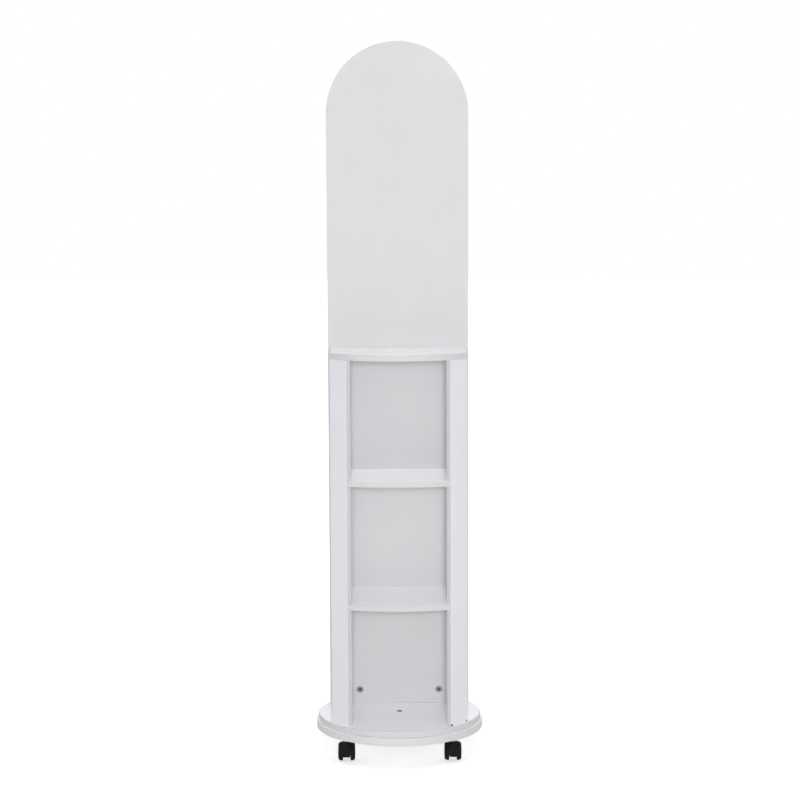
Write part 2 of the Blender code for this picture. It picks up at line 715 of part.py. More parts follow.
def make_wheel_mesh():
    """A wheel about Z with its dished face up, its bore open below, and a flat of its tread at -X."""
    face = WHEEL_W / 2
    rim_r = WHEEL_TIP_R - WHEEL_RIM
    bore_r = AXLE_D / 2 + SEAT
    bore_end = BORE_DEPTH - face
    profile = [(0, face - WHEEL_DISH), (rim_r, face - WHEEL_DISH), (rim_r + WHEEL_DISH, face)]
    profile += arc((WHEEL_TIP_R - WHEEL_ROUND, face - WHEEL_ROUND), WHEEL_ROUND, math.pi / 2, 0, RIM_STEPS)
    profile += [(WHEEL_TIP_R, WHEEL_BEVEL - face), (WHEEL_TIP_R - WHEEL_BEVEL, -face)]
    profile += [(bore_r, -face), (bore_r, bore_end), (0, bore_end)]
    return turned_mesh("wheel", profile, WHEEL_STEPS, phase=math.pi / WHEEL_STEPS)


def make_stem_mesh():
    """A swivel stem about Z from the floor's height: thread, collar and grooved pivot."""
    stem_r = STEM_D / 2
    collar_top = COLLAR_Z + COLLAR_H
    foot = HOOD_TOP - PIVOT_L + SEAT
    groove = foot + STEM_D / 2
    profile = [(0, collar_top + THREAD_L), (stem_r, collar_top + THREAD_L), (stem_r, collar_top)]
    profile += [(COLLAR_D / 2, collar_top), (COLLAR_D / 2, COLLAR_Z), (stem_r, COLLAR_Z)]
    profile += [(stem_r, groove + STEM_GROOVE), (stem_r - STEM_GROOVE, groove)]
    profile += [(stem_r, groove - STEM_GROOVE), (stem_r, foot), (0, foot)]
    return turned_mesh("stem", profile, ROUND_STEPS)


def make_insert_mesh():
    """A flanged threaded insert about Z from the floor's height, with the stem's bore through it."""
    bore_r = STEM_D / 2 + SEAT
    barrel_r = bore_r + INSERT_WALL
    flange_top = FLANGE_Z + FLANGE_T
    top = LOWER_Z + INSERT_L
    profile = [(bore_r, top), (barrel_r, top), (barrel_r, flange_top), (FLANGE_D / 2, flange_top)]
    profile += [(FLANGE_D / 2, FLANGE_Z), (bore_r, FLANGE_Z)]
    return turned_mesh("insert", profile, ROUND_STEPS, closed=True)


def make_casters(lower_disc):
    hood_mesh = make_hood_mesh()
    wheel_mesh = make_wheel_mesh()
    stem_mesh = make_stem_mesh()
    insert_mesh = make_insert_mesh()
    axle_l = WEB_W + 2 * (RUN_GAP + BORE_DEPTH - SEAT)
    axle_mesh = cylinder_mesh("axle", AXLE_D / 2, axle_l, ROUND_STEPS)
    insert_d = STEM_D + 4 * SEAT + 2 * INSERT_WALL
    for end, end_sign in (("front", -1), ("rear", 1)):
        for side, side_sign in SIDES.items():
            name = f"{end}_{side}_caster"
            swivel = Matrix.Translation((side_sign * CASTER_XY, end_sign * CASTER_XY, 0))
            axle = swivel @ Matrix.Translation((0, TRAIL, AXLE_Z))
            add_object(f"{name}_insert", insert_mesh, STEEL, parts, swivel)
            add_object(f"{name}_stem", stem_mesh, STEEL, parts, swivel)
            add_object(f"{name}_hood", hood_mesh, BLACK, parts, swivel)
            add_object(f"{name}_axle", axle_mesh, STEEL, parts, axle @ along((1, 0, 0)))
            for wheel, sign in SIDES.items():
                offset = Matrix.Translation((sign * (WEB_W / 2 + RUN_GAP + WHEEL_W / 2), 0, 0))
                turn = facing((0, 0, -sign), (0, 1, 0), (sign, 0, 0))
                add_object(f"{name}_{wheel}_wheel", wheel_mesh, TREAD, parts, axle @ offset @ turn)
            mouth = swivel.translation + Vector((0, 0, LOWER_Z))
            drill(lower_disc, f"{name}_insert_hole", insert_d, mouth, (0, 0, 1), INSERT_L + SEAT)


lower_disc, upper_disc = make_base()
make_base_screws(lower_disc, upper_disc)
arched_board = make_arched_board()
make_mirror()
side_boards = make_tower_sides()
shelves, top_shelf = make_shelves()
make_dowels(upper_disc, arched_board, side_boards, shelves, top_shelf)
make_cams(upper_disc, arched_board, side_boards, top_shelf)
make_casters(lower_disc)
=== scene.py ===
"""Looks of the rolling mirror with shelves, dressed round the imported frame.

Boards are swept along their outlines with rounded, banded edges and bored for their fasteners.
Wheels, stems, inserts, locks and screws are turned from profiles. Metres, +Z up, the shelves
towards -Y and the mirror towards +Y, as in the frame.
"""

import json
from math import acos, asin, atan2, cos, pi, radians, remainder, sin, tan

import bmesh
import bpy
from mathutils import Matrix, Vector

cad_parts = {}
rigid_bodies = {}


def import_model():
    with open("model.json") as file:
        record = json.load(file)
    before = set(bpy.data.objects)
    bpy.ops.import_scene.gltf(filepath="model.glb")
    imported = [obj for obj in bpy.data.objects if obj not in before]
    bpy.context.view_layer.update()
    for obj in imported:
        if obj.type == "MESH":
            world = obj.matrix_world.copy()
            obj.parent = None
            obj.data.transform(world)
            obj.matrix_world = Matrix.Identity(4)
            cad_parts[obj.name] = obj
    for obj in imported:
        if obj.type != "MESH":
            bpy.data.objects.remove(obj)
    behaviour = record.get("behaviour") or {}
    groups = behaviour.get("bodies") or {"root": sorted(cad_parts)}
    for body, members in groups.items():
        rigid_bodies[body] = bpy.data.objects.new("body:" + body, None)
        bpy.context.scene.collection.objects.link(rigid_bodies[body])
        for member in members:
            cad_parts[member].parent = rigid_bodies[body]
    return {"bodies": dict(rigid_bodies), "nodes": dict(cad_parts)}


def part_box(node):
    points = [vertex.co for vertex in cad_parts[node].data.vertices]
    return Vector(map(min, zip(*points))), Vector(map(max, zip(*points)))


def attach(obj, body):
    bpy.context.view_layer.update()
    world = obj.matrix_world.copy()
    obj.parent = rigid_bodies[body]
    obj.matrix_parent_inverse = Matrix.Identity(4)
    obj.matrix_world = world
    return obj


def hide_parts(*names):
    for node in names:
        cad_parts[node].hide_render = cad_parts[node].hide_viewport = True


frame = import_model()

kept = set(frame["nodes"].values()) | set(frame["bodies"].values())
for spare in list(bpy.data.objects):
    if spare not in kept:
        bpy.data.objects.remove(spare)
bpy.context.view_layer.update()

scene = bpy.context.scene
SIDES = {"left": -1, "right": 1}
CORNERS = [f"{end}_{side}" for end in ("front", "rear") for side in SIDES]

# Sizes that the frame's boxes don't give
SEAT = 0.0003  # between pieces that rest on each other or sit in one another
BOARD_T = 0.012
SIDE_REACH = 0.102
STILE_W = 0.062
STILE_TURN = radians(40)
SHELF_BOW = 0.022
CENTRE_HOLE_D = 0.012
SCREW_D = 0.0045
SCREW_HEAD_D = 0.009
SINK_OVER = 0.001  # how far a countersink's cutter starts below the screw's head
SINK_D = SCREW_HEAD_D + 2 * SEAT + 2 * SINK_OVER
SINK_H = (SINK_D - SCREW_D) / 2 - SEAT
SINK_TAPER = (SCREW_D + 2 * SEAT) / SINK_D
STEM_D = 0.008
STEM_GROOVE = 0.0008
COLLAR_D = 0.016
COLLAR_H = 0.0045
INSERT_WALL = 0.0015
FLANGE_T = 0.0016
CAM_FACE_RIM = 0.0004  # how far a lock stands out of its board
CAM_DRIVE_W = 0.0075
CAM_DRIVE_SLOT = 0.0018
CAM_HUB = 0.0024  # radius of the round hollow where the slots cross
CAM_FACE_DIP = 0.0003
BOLT_D = 0.0062
BOLT_HEAD_L = 0.0035
SCREW_DRIVE_W = 0.0046
SCREW_DRIVE_SLOT = 0.0012
SCREW_HUB = 0.0011
SCREW_DRIVE_DEPTH = 0.0018
SCREW_PITCH = 0.0018
SCREW_ROOT = 0.74  # the thread's root as a share of its crest
STEM_PITCH = 0.00125
STEM_ROOT = 0.86
TURNED_EDGE = 0.0004  # broken edges of stems and inserts
RECESS_TAPER = (0.62, 1.38)  # a recess's width at the cutter's lower and upper end

# Casters
AXLE_D = 0.005
TRAIL = 0.015
WEB_W = 0.017
WEB_CLEARANCE = 0.013
RUN_GAP = 0.0005
WHEEL_W = 0.011
WHEEL_R = 0.020
WHEEL_ROUND_UP = 0.0060  # how far the tread's outer rounding comes up the wheel
WHEEL_ROUND_IN = 0.0070  # how far it goes in across the tread
WHEEL_INNER_ROUND = 0.0016
WHEEL_DISH = 0.001
WHEEL_RIM = 0.0078
WHEEL_CAP = 0.003
WHEEL_HUB = 0.0042
WELL_R = 0.021373
WELL_END_R = 0.0121
WELL_RUN = 0.014  # how far out from the web the hollow over a wheel is rounded
HOOD_R = 0.025073
HOOD_END_R = 0.0178  # where the hood's shoulder ends, beside the wheel's face
SHOULDER_FACETS = 12
HOOD_SOFT = 0.0004  # rounding of the moulding's other outer edges
HOOD_SOFT_FACETS = 3
HOOD_FLAT = radians(0.4)
HOOD_W = WEB_W + 2 * (RUN_GAP + WHEEL_W)
BOSS_R = 0.009
BOSS_DRAFT = 0.0005
BOSS_EDGE = 0.0008
STEM_BORE_L = 0.020
TOOL_OVER = 0.002  # how far a cutter reaches past what it cuts
FENDER_FRONT = radians(185)
FENDER_REAR = radians(40)

# Edges and facets
BOARD_ROUND = 0.0006  # rounding of the rims of shelves and arched board
TOWER_ROUND = 0.0003  # rounding of the ends of side boards and stiles
GLASS_ROUND = 0.0010  # polished edge of the glass
DISC_ROUND = 0.0020
CORNER_ROUND = 0.0010  # rounding of a board's corners, seen on its face
UPRIGHT_ROUND = 0.0005  # rounding of the upright corners of side boards and stiles
SHARP_CORNER = radians(12)
SHARP_EDGE = radians(35)
BAND_FACING = 0.95  # how squarely a face must look along a stile to carry its edge band
RIM_FACETS = 4
DISC_RIM_FACETS = 8
CORNER_FACETS = 4
ARCH_FACETS = 128
DISC_FACETS = 192
BOW_FACETS = 64
BORE_FACETS = 40
TURNED_FACETS = 64
WHEEL_FACETS = 96
WELL_FACETS = 120
AXLE_BORE_FACETS = 32
FLOOR_FACETS = 96
WELD = 1e-6
TURNING_RING = 1e-6  # radius of the ring that carries a profile round its axis
TURNED_WELD = 5e-6
LATHE_WELD = 1e-7
HOOD_WELD = 2e-6
SOFT = 0.0002  # smallest break of an edge
UPRIGHT = (pi / 2, 0.0, 0.0)  # an outline drawn flat stands up, its face to -Y
LYING = (0.0, 0.0, 0.0)


def node_middle(node):
    low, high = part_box(node)
    return (low + high) / 2


def node_size(node):
    low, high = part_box(node)
    return high - low


# Node trees

class Tree:
    """A node tree that is built step by step, mostly from one family of nodes."""

    def __init__(self, tree, family):
        self.tree = tree
        self.family = family

    def step(self, kind, wires, output=0, family=None, **settings):
        """Add a node with its settings, wire or set its inputs, and give one of its outputs."""
        node = self.tree.nodes.new((family or self.family) + kind)
        for label, value in settings.items():
            setattr(node, label, value)
        for key, value in wires.items():
            sources = value if isinstance(value, list) else [value]
            for source in sources:
                if isinstance(source, bpy.types.NodeSocket):
                    self.tree.links.new(source, node.inputs[key])
                else:
                    node.inputs[key].default_value = source
        return node.outputs[output]

    def math(self, operation, *values):
        return self.step("Math", dict(enumerate(values)), 0, "ShaderNode", operation=operation)

    def vector_math(self, operation, output, *values):
        return self.step("VectorMath", dict(enumerate(values)), output, "ShaderNode", operation=operation)


class Recipe(Tree):
    """A Geometry Nodes tree with named inputs."""

    def __init__(self, name, inputs):
        super().__init__(bpy.data.node_groups.new(name, "GeometryNodeTree"), "GeometryNode")
        face = self.tree.interface
        for way in ("OUTPUT", "INPUT"):
            face.new_socket("Geometry", in_out=way, socket_type="NodeSocketGeometry")
        self.keys = {}
        for label, kind in inputs.items():
            socket = face.new_socket(label, in_out="INPUT", socket_type="NodeSocket" + kind)
            self.keys[label] = socket.identifier
        self.given = self.tree.nodes.new("NodeGroupInput").outputs

    def is_less(self, first, second):
        return self.step("Compare", {0: first, 1: second}, 0, "FunctionNode", operation="LESS_THAN")

    def is_number(self, value, number):
        wires = {2: value, 3: number}
        return self.step("Compare", wires, 0, "FunctionNode", data_type="INT", operation="EQUAL")

    def named(self, label, kind):
        return self.step("InputNamedAttribute", {"Name": label}, data_type=kind)

    def as_zone(self, geometry, number):
        wires = {"Geometry": geometry, "Name": "zone", "Value": number}
        return self.step("StoreNamedAttribute", wires, data_type="INT", domain="FACE")

    def part_of_position(self, axis):
        return self.step("SeparateXYZ", {0: self.step("InputPosition", {})}, axis, "ShaderNode")

    def along(self, axis, length):
        return self.step("CombineXYZ", {axis: length}, 0, "ShaderNode")

    def moved(self, geometry, place=LYING, turn=LYING):
        return self.step("Transform", {"Geometry": geometry, "Translation": place, "Rotation": turn})

    def borrowed(self, label):
        """The shape of an object that is given as an input."""
        return self.step("ObjectInfo", {"Object": self.given[label]}, "Geometry")

    def minus(self, body, tool, crossing=False):
        """A body less a tool, whose parts may cross each other."""
        wires = {"Mesh 1": body, "Mesh 2": tool, "Self Intersection": crossing}
        return self.step("MeshBoolean", wires, operation="DIFFERENCE", solver="EXACT")

    def close(self, geometry, finishes):
        """Shade it, realize it, set each zone's finish, and send it out."""
        smooth = self.step("SetShadeSmooth", {"Geometry": geometry}, domain="FACE")
        bend = self.step("InputMeshEdgeAngle", {})
        sharp = self.is_less(SHARP_EDGE, bend)
        wires = {"Geometry": smooth, "Selection": sharp, "Shade Smooth": False}
        shaded = self.step("SetShadeSmooth", wires, domain="EDGE")
        result = self.step("RealizeInstances", {"Geometry": shaded})
        for zone, label in finishes.items():
            wires = {"Geometry": result, "Material": self.given[label]}
            if zone:
                wires["Selection"] = self.is_number(self.named("zone", "INT"), zone)
            result = self.step("SetMaterial", wires)
        out = self.tree.nodes.new("NodeGroupOutput")
        self.tree.links.new(result, out.inputs[0])

    def bake(self, name, source, values):
        """The tree's result on a source mesh, as a plain mesh."""
        holder = placed(name, source)
        nodes = holder.modifiers.new("recipe", "NODES")
        nodes.node_group = self.tree
        for label, value in values.items():
            nodes[self.keys[label]] = value
        return even_mesh(holder)


def even_mesh(holder):
    """An object's evaluated shape with even shading on its flats. The object is used up."""
    flats = holder.modifiers.new("even_flats", "WEIGHTED_NORMAL")
    flats.mode = "FACE_AREA"
    flats.keep_sharp = True
    mesh = plain_mesh(holder)
    bpy.data.objects.remove(holder)
    return mesh


def plain_mesh(holder):
    """An object's evaluated shape as a mesh of its own."""
    bpy.context.view_layer.update()
    depsgraph = bpy.context.evaluated_depsgraph_get()
    mesh = bpy.data.meshes.new_from_object(holder.evaluated_get(depsgraph))
    mesh.name = holder.name
    return mesh


def placed(name, data):
    """An object in the scene for a mesh, a lens or a lamp."""
    thing = bpy.data.objects.new(name, data)
    scene.collection.objects.link(thing)
    return thing


def line_mesh(name, points, closed):
    """Points joined by edges, as a path or a profile."""
    mesh = bpy.data.meshes.new(name)
    edges = [(i, i + 1) for i in range(len(points) - 1)]
    if closed:
        edges.append((len(points) - 1, 0))
    mesh.from_pydata([(x, y, 0.0) for x, y in points], edges, [])
    return mesh


def point_mesh(name, places, attributes):
    """Loose points that carry values for the pieces set on them."""
    mesh = bpy.data.meshes.new(name)
    mesh.from_pydata([tuple(place) for place in places], [], [])
    for label, (kind, values) in attributes.items():
        row = mesh.attributes.new(label, kind, "POINT").data
        field = "vector" if kind == "FLOAT_VECTOR" else "value"
        for entry, value in zip(row, values):
            setattr(entry, field, value)
    return mesh


def board_recipe():
    """A board from its outline: a rounded rim swept along it, a face and a back, and its bores."""
    recipe = Recipe("banded_board", {
        "Thickness": "Float", "Rounding": "Float", "Rim facets": "Int",
        "Place": "Vector", "Turn": "Vector", "Bores": "Object",
        "Edge finish": "Material", "Face finish": "Material",
        "Bore finish": "Material", "Back finish": "Material",
    })
    step = recipe.step
    given = recipe.given
    half = recipe.math("MULTIPLY", given["Thickness"], 0.5)
    outline = step("MeshToCurve", {"Mesh": given["Geometry"]})
    path = step("SetCurveNormal", {"Curve": outline}, mode="Z_UP")

    wide = recipe.math("MULTIPLY", given["Rounding"], 4.0)
    block = step("CurvePrimitiveQuadrilateral", {"Width": wide, "Height": given["Thickness"]})
    wires = {"Curve": block, "Count": given["Rim facets"], "Radius": given["Rounding"]}
    soft = step("FilletCurve", wires, mode="POLY")
    turned = recipe.moved(soft, turn=(0.0, 0.0, pi))
    inner = recipe.is_less(recipe.part_of_position(0), 0.0)
    cut = step("DeleteGeometry", {"Geometry": turned, "Selection": inner}, domain="POINT")
    opened = step("SetSplineCyclic", {"Geometry": cut, "Cyclic": False})
    rim = recipe.moved(opened, recipe.along(0, recipe.math("MULTIPLY", given["Rounding"], -2.0)))
    swept = step("CurveToMesh", {"Curve": path, "Profile Curve": rim})
    skirt = recipe.as_zone(swept, 0)

    sides = step("InputMeshEdgeNeighbors", {})
    open_edge = recipe.is_number(sides, 1)
    above = recipe.is_less(0.0, recipe.part_of_position(2))
    upper_edge = step("BooleanMath", {0: open_edge, 1: above}, 0, "FunctionNode", operation="AND")
    loop = step("MeshToCurve", {"Mesh": skirt, "Selection": upper_edge})
    sheet = step("FillCurve", {"Curve": loop}, mode="NGONS")
    face = recipe.moved(sheet, recipe.along(2, half))
    under = recipe.moved(sheet, recipe.along(2, recipe.math("MULTIPLY", half, -1.0)))
    back = step("FlipFaces", {"Mesh": under})
    pieces = [skirt, recipe.as_zone(face, 1), recipe.as_zone(back, 3)]
    joined = step("JoinGeometry", {"Geometry": pieces})
    welded = step("MergeByDistance", {"Geometry": joined, "Distance": WELD})
    board = recipe.moved(welded, given["Place"], given["Turn"])

    spots = recipe.borrowed("Bores")
    way = recipe.named("bore_turn", "FLOAT_VECTOR")
    size = recipe.named("bore_size", "FLOAT_VECTOR")
    kind = recipe.named("bore_kind", "INT")
    straight = step("MeshCylinder", {"Vertices": BORE_FACETS, "Radius": 1.0, "Depth": 1.0})
    wires = {"Vertices": BORE_FACETS, "Radius Top": SINK_TAPER, "Radius Bottom": 1.0, "Depth": 1.0}
    cone = step("MeshCone", wires)
    tapered = recipe.moved(cone, (0.0, 0.0, -0.5))
    drills = []
    for number, drill in enumerate((straight, tapered)):
        chosen = recipe.is_number(kind, number)
        wires = {"Points": spots, "Selection": chosen, "Instance": drill, "Rotation": way, "Scale": size}
        drills.append(step("InstanceOnPoints", wires))
    drilled = step("JoinGeometry", {"Geometry": drills})
    cutters = recipe.as_zone(step("RealizeInstances", {"Geometry": drilled}), 2)
    bored = recipe.minus(board, cutters, crossing=True)
    recipe.close(bored, {0: "Edge finish", 1: "Face finish", 2: "Bore finish", 3: "Back finish"})
    return recipe


def turned_recipe(recessed):
    """A profile turned about Z, with a recess cut where it has one, set on each of its seats."""
    inputs = {"Profile": "Object", "Facets": "Int", "Finish": "Material"}
    finishes = {0: "Finish"}
    # The recess's faces take a material of their own, which carries painted shade.
    if recessed:
        inputs.update({"Recess": "Object", "Recess finish": "Material"})
        finishes[1] = "Recess finish"
    recipe = Recipe("turned_piece", inputs)
    step = recipe.step
    given = recipe.given
    profile = step("MeshToCurve", {"Mesh": recipe.borrowed("Profile")})
    ring = step("CurvePrimitiveCircle", {"Resolution": given["Facets"], "Radius": TURNING_RING})
    path = step("SetCurveNormal", {"Curve": ring}, mode="Z_UP")
    swept = step("CurveToMesh", {"Curve": path, "Profile Curve": profile})
    welded = step("MergeByDistance", {"Geometry": swept, "Distance": TURNED_WELD})
    flat = recipe.vector_math("MULTIPLY", "Vector", step("InputPosition", {}), (1.0, 1.0, 0.0))
    reach = recipe.vector_math("LENGTH", "Value", flat)
    wires = {"Geometry": welded, "Name": "turned_radius", "Value": reach}
    body = step("StoreNamedAttribute", wires, data_type="FLOAT", domain="POINT")
    if recessed:
        tool = recipe.borrowed("Recess")
        body = recipe.minus(recipe.as_zone(body, 0), recipe.as_zone(tool, 1))
    way = recipe.named("seat_turn", "FLOAT_VECTOR")
    wires = {"Points": given["Geometry"], "Instance": body, "Rotation": way}
    recipe.close(step("InstanceOnPoints", wires), finishes)
    return recipe


# Finishes

LOW_NOISE = 0.3  # most of a noise lies between these
HIGH_NOISE = 0.7


class Finish(Tree):
    """A procedural material on Object coordinates, wired into one Principled shader."""

    def __init__(self, name, sockets=None):
        self.material = bpy.data.materials.new(name)
        self.material.use_nodes = True
        super().__init__(self.material.node_tree, "ShaderNode")
        self.shader = self.tree.nodes["Principled BSDF"].inputs
        for label, value in (sockets or {}).items():
            self.shader[label].default_value = value
        self.place = self.step("TexCoord", {}, output="Object")

    def stretched(self, scale):
        return self.step("Mapping", {"Vector": self.place, "Scale": scale})

    def noise(self, scale, detail=2.0, roughness=0.5, place=None):
        wires = {"Vector": place or self.place, "Scale": scale, "Detail": detail, "Roughness": roughness}
        return self.step("TexNoise", wires)

    def cells(self, scale, output="Distance"):
        return self.step("TexVoronoi", {"Vector": self.place, "Scale": scale}, output=output)

    def ramp(self, value, low, high, start=LOW_NOISE, end=HIGH_NOISE):
        """A value remapped from one range to another, held at its ends."""
        wires = {"Value": value, 1: start, 2: end, 3: low, 4: high}
        return self.step("MapRange", wires)

    def blend(self, share, first, second):
        """Two colours, or a colour and what is wired so far, mixed by a share."""
        wires = {0: share, 6: first, 7: second}
        return self.step("Mix", wires, output=2, data_type="RGBA")

    def colour(self, source):
        self.tree.links.new(source, self.shader["Base Color"])

    def tint(self, share, first, second):
        """The colour, between two tones by a share."""
        self.colour(self.blend(share, (*first, 1.0), (*second, 1.0)))

    def gloss(self, share, low, high, start=LOW_NOISE, end=HIGH_NOISE):
        """The roughness, between two values as a share runs over a range."""
        self.tree.links.new(self.ramp(share, low, high, start, end), self.shader["Roughness"])

    def relief(self, height, strength, depth):
        bump = self.step("Bump", {"Height": height, "Strength": strength, "Distance": depth})
        self.tree.links.new(bump, self.shader["Normal"])


def grey(value):
    return (value, value, value, 1.0)


BLACK = {"Specular IOR Level": 0.14}
METAL = {"Metallic": 1.0}
CHIP_BROWN = (0.17, 0.070, 0.045, 1.0)
CHIP_SQUAT = 1.7  # how much wider than high a chip is


def melamine_finish(name, tone, chips=(), pearl=0.0):
    """White melamine: faint clouding, a fine pearl grain, and board showing through at chipped corners."""
    finish = Finish(name, {"Sheen Weight": pearl, "Sheen Roughness": 0.4})
    red, green, blue = tone
    clouds = finish.noise(9.0, 4.0, 0.6)
    share = finish.ramp(clouds, 0.0, 1.0)
    dull = (red * 0.975, green * 0.975, blue * 0.98, 1.0)
    white = finish.blend(share, dull, (*tone, 1.0))
    grain = finish.noise(1400.0, 2.0)
    speck = finish.ramp(grain, 0.0, 0.05, 0.45, 0.8)
    colour = finish.blend(speck, white, grey(0.55))
    squat = finish.stretched((1.0, 1.0, CHIP_SQUAT)) if chips else None
    for (x, y, z), reach in chips:
        away = finish.vector_math("DISTANCE", "Value", squat, (x, y, z * CHIP_SQUAT))
        ragged = finish.ramp(finish.noise(330.0, 4.0), -0.5, 0.5)
        torn = finish.math("MULTIPLY_ADD", ragged, reach * 0.55, away)
        chipped = finish.ramp(torn, 1.0, 0.0, reach * 0.8, reach)
        colour = finish.blend(chipped, colour, CHIP_BROWN)
    finish.colour(colour)
    finish.gloss(finish.noise(40.0, 3.0), 0.13, 0.20)
    finish.relief(grain, 0.10, 0.0002)
    return finish.material


def band_finish(name, tone):
    """Edge band: a little duller than the faces, with the cutter's fine marks."""
    finish = Finish(name)
    marks = finish.noise(60.0, 3.0, place=finish.stretched((1.0, 1.0, 14.0)))
    finish.tint(finish.ramp(marks, 0.0, 1.0), [part * 0.98 for part in tone], tone)
    finish.gloss(marks, 0.30, 0.36)
    finish.relief(finish.noise(1100.0, 2.0), 0.08, 0.0002)
    return finish.material


def raw_board_finish():
    """Cut particle board, as it shows inside a bore."""
    finish = Finish("particle_board", {"Roughness": 0.85})
    flakes = finish.cells(420.0, "Color")
    tone = finish.step("SeparateColor", {0: flakes})
    finish.tint(tone, (0.055, 0.024, 0.022), (0.14, 0.072, 0.060))
    finish.relief(finish.cells(420.0), 0.5, 0.0008)
    return finish.material


def noise_finish(name, noise, dark, light, gloss, relief=None, sockets=None, stretch=(1.0, 1.0, 1.0),
                 grain=None):
    """One noise that drives the tone, the roughness and the relief, which may have a grain of its own."""
    finish = Finish(name, sockets)
    worked = finish.noise(*noise, place=finish.stretched(stretch))
    finish.tint(worked, dark, light)
    finish.gloss(worked, *gloss)
    if relief:
        finish.relief(finish.noise(*grain) if grain else worked, *relief)
    return finish.material


def foam_finish():
    """Closed-cell mounting tape."""
    finish = Finish("tape_foam", {"Roughness": 0.9})
    bubbles = finish.cells(2200.0)
    finish.tint(bubbles, (0.80, 0.80, 0.77), (0.60, 0.60, 0.57))
    finish.relief(bubbles, 0.5, 0.0003)
    return finish.material


def tread_finish():
    """Wheel nylon: turned rings on its face, and a greyer, duller tread."""
    finish = Finish("black_tread", BLACK)
    reach = finish.step("Attribute", {}, "Fac", attribute_name="turned_radius")
    dust = finish.noise(420.0, 4.0, 0.6)
    rolled = finish.ramp(reach, 0.0, 1.0, WHEEL_R - 0.0022, WHEEL_R - 0.0002)
    worn = finish.math("MULTIPLY", rolled, finish.ramp(dust, 0.1, 0.9, 0.35, 0.7))
    finish.tint(worn, (0.0055, 0.0052, 0.0060), (0.0150, 0.0145, 0.0145))
    finish.gloss(worn, 0.38, 0.66, 0.0, 1.0)
    wave = finish.math("SINE", finish.math("MULTIPLY", reach, 9000.0))
    finish.relief(finish.math("MULTIPLY_ADD", wave, 0.3, dust), 0.15, 0.0002)
    return finish.material


def beech_finish(axis):
    """Beech with its grain and short flecks along one axis."""
    finish = Finish("beech_" + "xyz"[axis], {"Roughness": 0.62})
    along = [1.0, 1.0, 1.0]
    along[axis] = 0.06
    grain = finish.noise(700.0, 4.0, 0.6, finish.stretched(tuple(along)))
    along[axis] = 0.25
    flecks = finish.noise(1500.0, 2.0, 0.5, finish.stretched(tuple(along)))
    wood = finish.blend(grain, (0.43, 0.27, 0.15, 1.0), (0.62, 0.44, 0.27, 1.0))
    finish.colour(finish.blend(finish.ramp(flecks, 0.0, 0.6, 0.6, 0.7), wood, (0.30, 0.17, 0.09, 1.0)))
    finish.relief(grain, 0.3, 0.0002)
    return finish.material


# Outlines, all drawn anticlockwise

def arc(centre, radius, start, end, facets):
    """Points along an arc from one angle to another, both ends included."""
    points = []
    for facet in range(facets + 1):
        angle = start + (end - start) * facet / facets
        points.append((centre[0] + radius * cos(angle), centre[1] + radius * sin(angle)))
    return points


def mirrored(points):
    return [(-x, y) for x, y in reversed(points)]


def softened(points, radius):
    """The outline with each sharp corner rounded."""
    result = []
    for i, point in enumerate(points):
        corner = Vector(point)
        back = (Vector(points[i - 1]) - corner).normalized()
        ahead = (Vector(points[(i + 1) % len(points)]) - corner).normalized()
        bend = pi - back.angle(ahead)
        if bend < SHARP_CORNER:
            result.append(point)
            continue
        centre = corner + (back + ahead).normalized() * radius / cos(bend / 2)
        start = corner + back * radius * tan(bend / 2) - centre
        end = corner + ahead * radius * tan(bend / 2) - centre
        first = atan2(start.y, start.x)
        sweep = remainder(atan2(end.y, end.x) - first, 2 * pi)
        result += arc(centre, radius, first, first + sweep, CORNER_FACETS)
    return result


def arch_outline(node):
    size = node_size(node)
    radius = size.x / 2
    top = arc((0, size.z - radius), radius, 0, pi, ARCH_FACETS)
    return [(-radius, 0), (radius, 0)] + top


def disc_outline(node):
    radius = node_size(node).y / 2
    return arc((0, 0), radius, 0, 2 * pi, DISC_FACETS)[:-1]


TOWER_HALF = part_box("side_board_right")[1].x
SHELF_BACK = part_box("side_board_right")[1].y


def corner_point(inward):
    """Where a side board and its stile meet, seen from above on the right."""
    return (TOWER_HALF - inward, -SIDE_REACH + inward * tan(STILE_TURN / 2))


def stile_point(run, inward):
    """A point of the right stile: a run along its outer face from the corner, and inward of that face."""
    x = TOWER_HALF - run * sin(STILE_TURN) - inward * cos(STILE_TURN)
    y = -SIDE_REACH - run * cos(STILE_TURN) + inward * sin(STILE_TURN)
    return (x, y)


def side_outline():
    gap = SEAT / cos(STILE_TURN / 2)
    outer_x, outer_y = corner_point(0)
    inner_x, inner_y = corner_point(BOARD_T)
    return [
        (outer_x, SHELF_BACK), (inner_x, SHELF_BACK),
        (inner_x, inner_y + gap), (outer_x, outer_y + gap),
    ]


def stile_outline():
    return [
        corner_point(0), corner_point(BOARD_T),
        stile_point(STILE_W, BOARD_T), stile_point(STILE_W, 0),
    ]


def middle_shelf_outline():
    """Between the side boards, notched round the stiles' ends, with a bowed front."""
    inside = BOARD_T + SEAT
    right = [
        stile_point(STILE_W + SEAT, inside), corner_point(inside),
        (TOWER_HALF - inside, SHELF_BACK),
    ]
    front_x, front_y = stile_point(STILE_W + SEAT, 0)
    radius = (front_x ** 2 + SHELF_BOW ** 2) / (2 * SHELF_BOW)
    half_angle = asin(front_x / radius)
    down = -pi / 2
    centre = (0, front_y - SHELF_BOW + radius)
    bow = arc(centre, radius, down - half_angle, down + half_angle, BOW_FACETS)
    return bow + right + mirrored(right)


def top_shelf_outline():
    """Over side boards and stiles, with a round front that follows the base."""
    low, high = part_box("top_shelf")
    radius = -low.y
    reach = acos(high.x / radius)
    front = arc((0, 0), radius, -pi + reach, -reach, BOW_FACETS)
    return front + [(high.x, high.y), (low.x, high.y)]


# Bores

AXIS_TURN = ((0.0, pi / 2, 0.0), (pi / 2, 0.0, 0.0), (0.0, 0.0, 0.0))


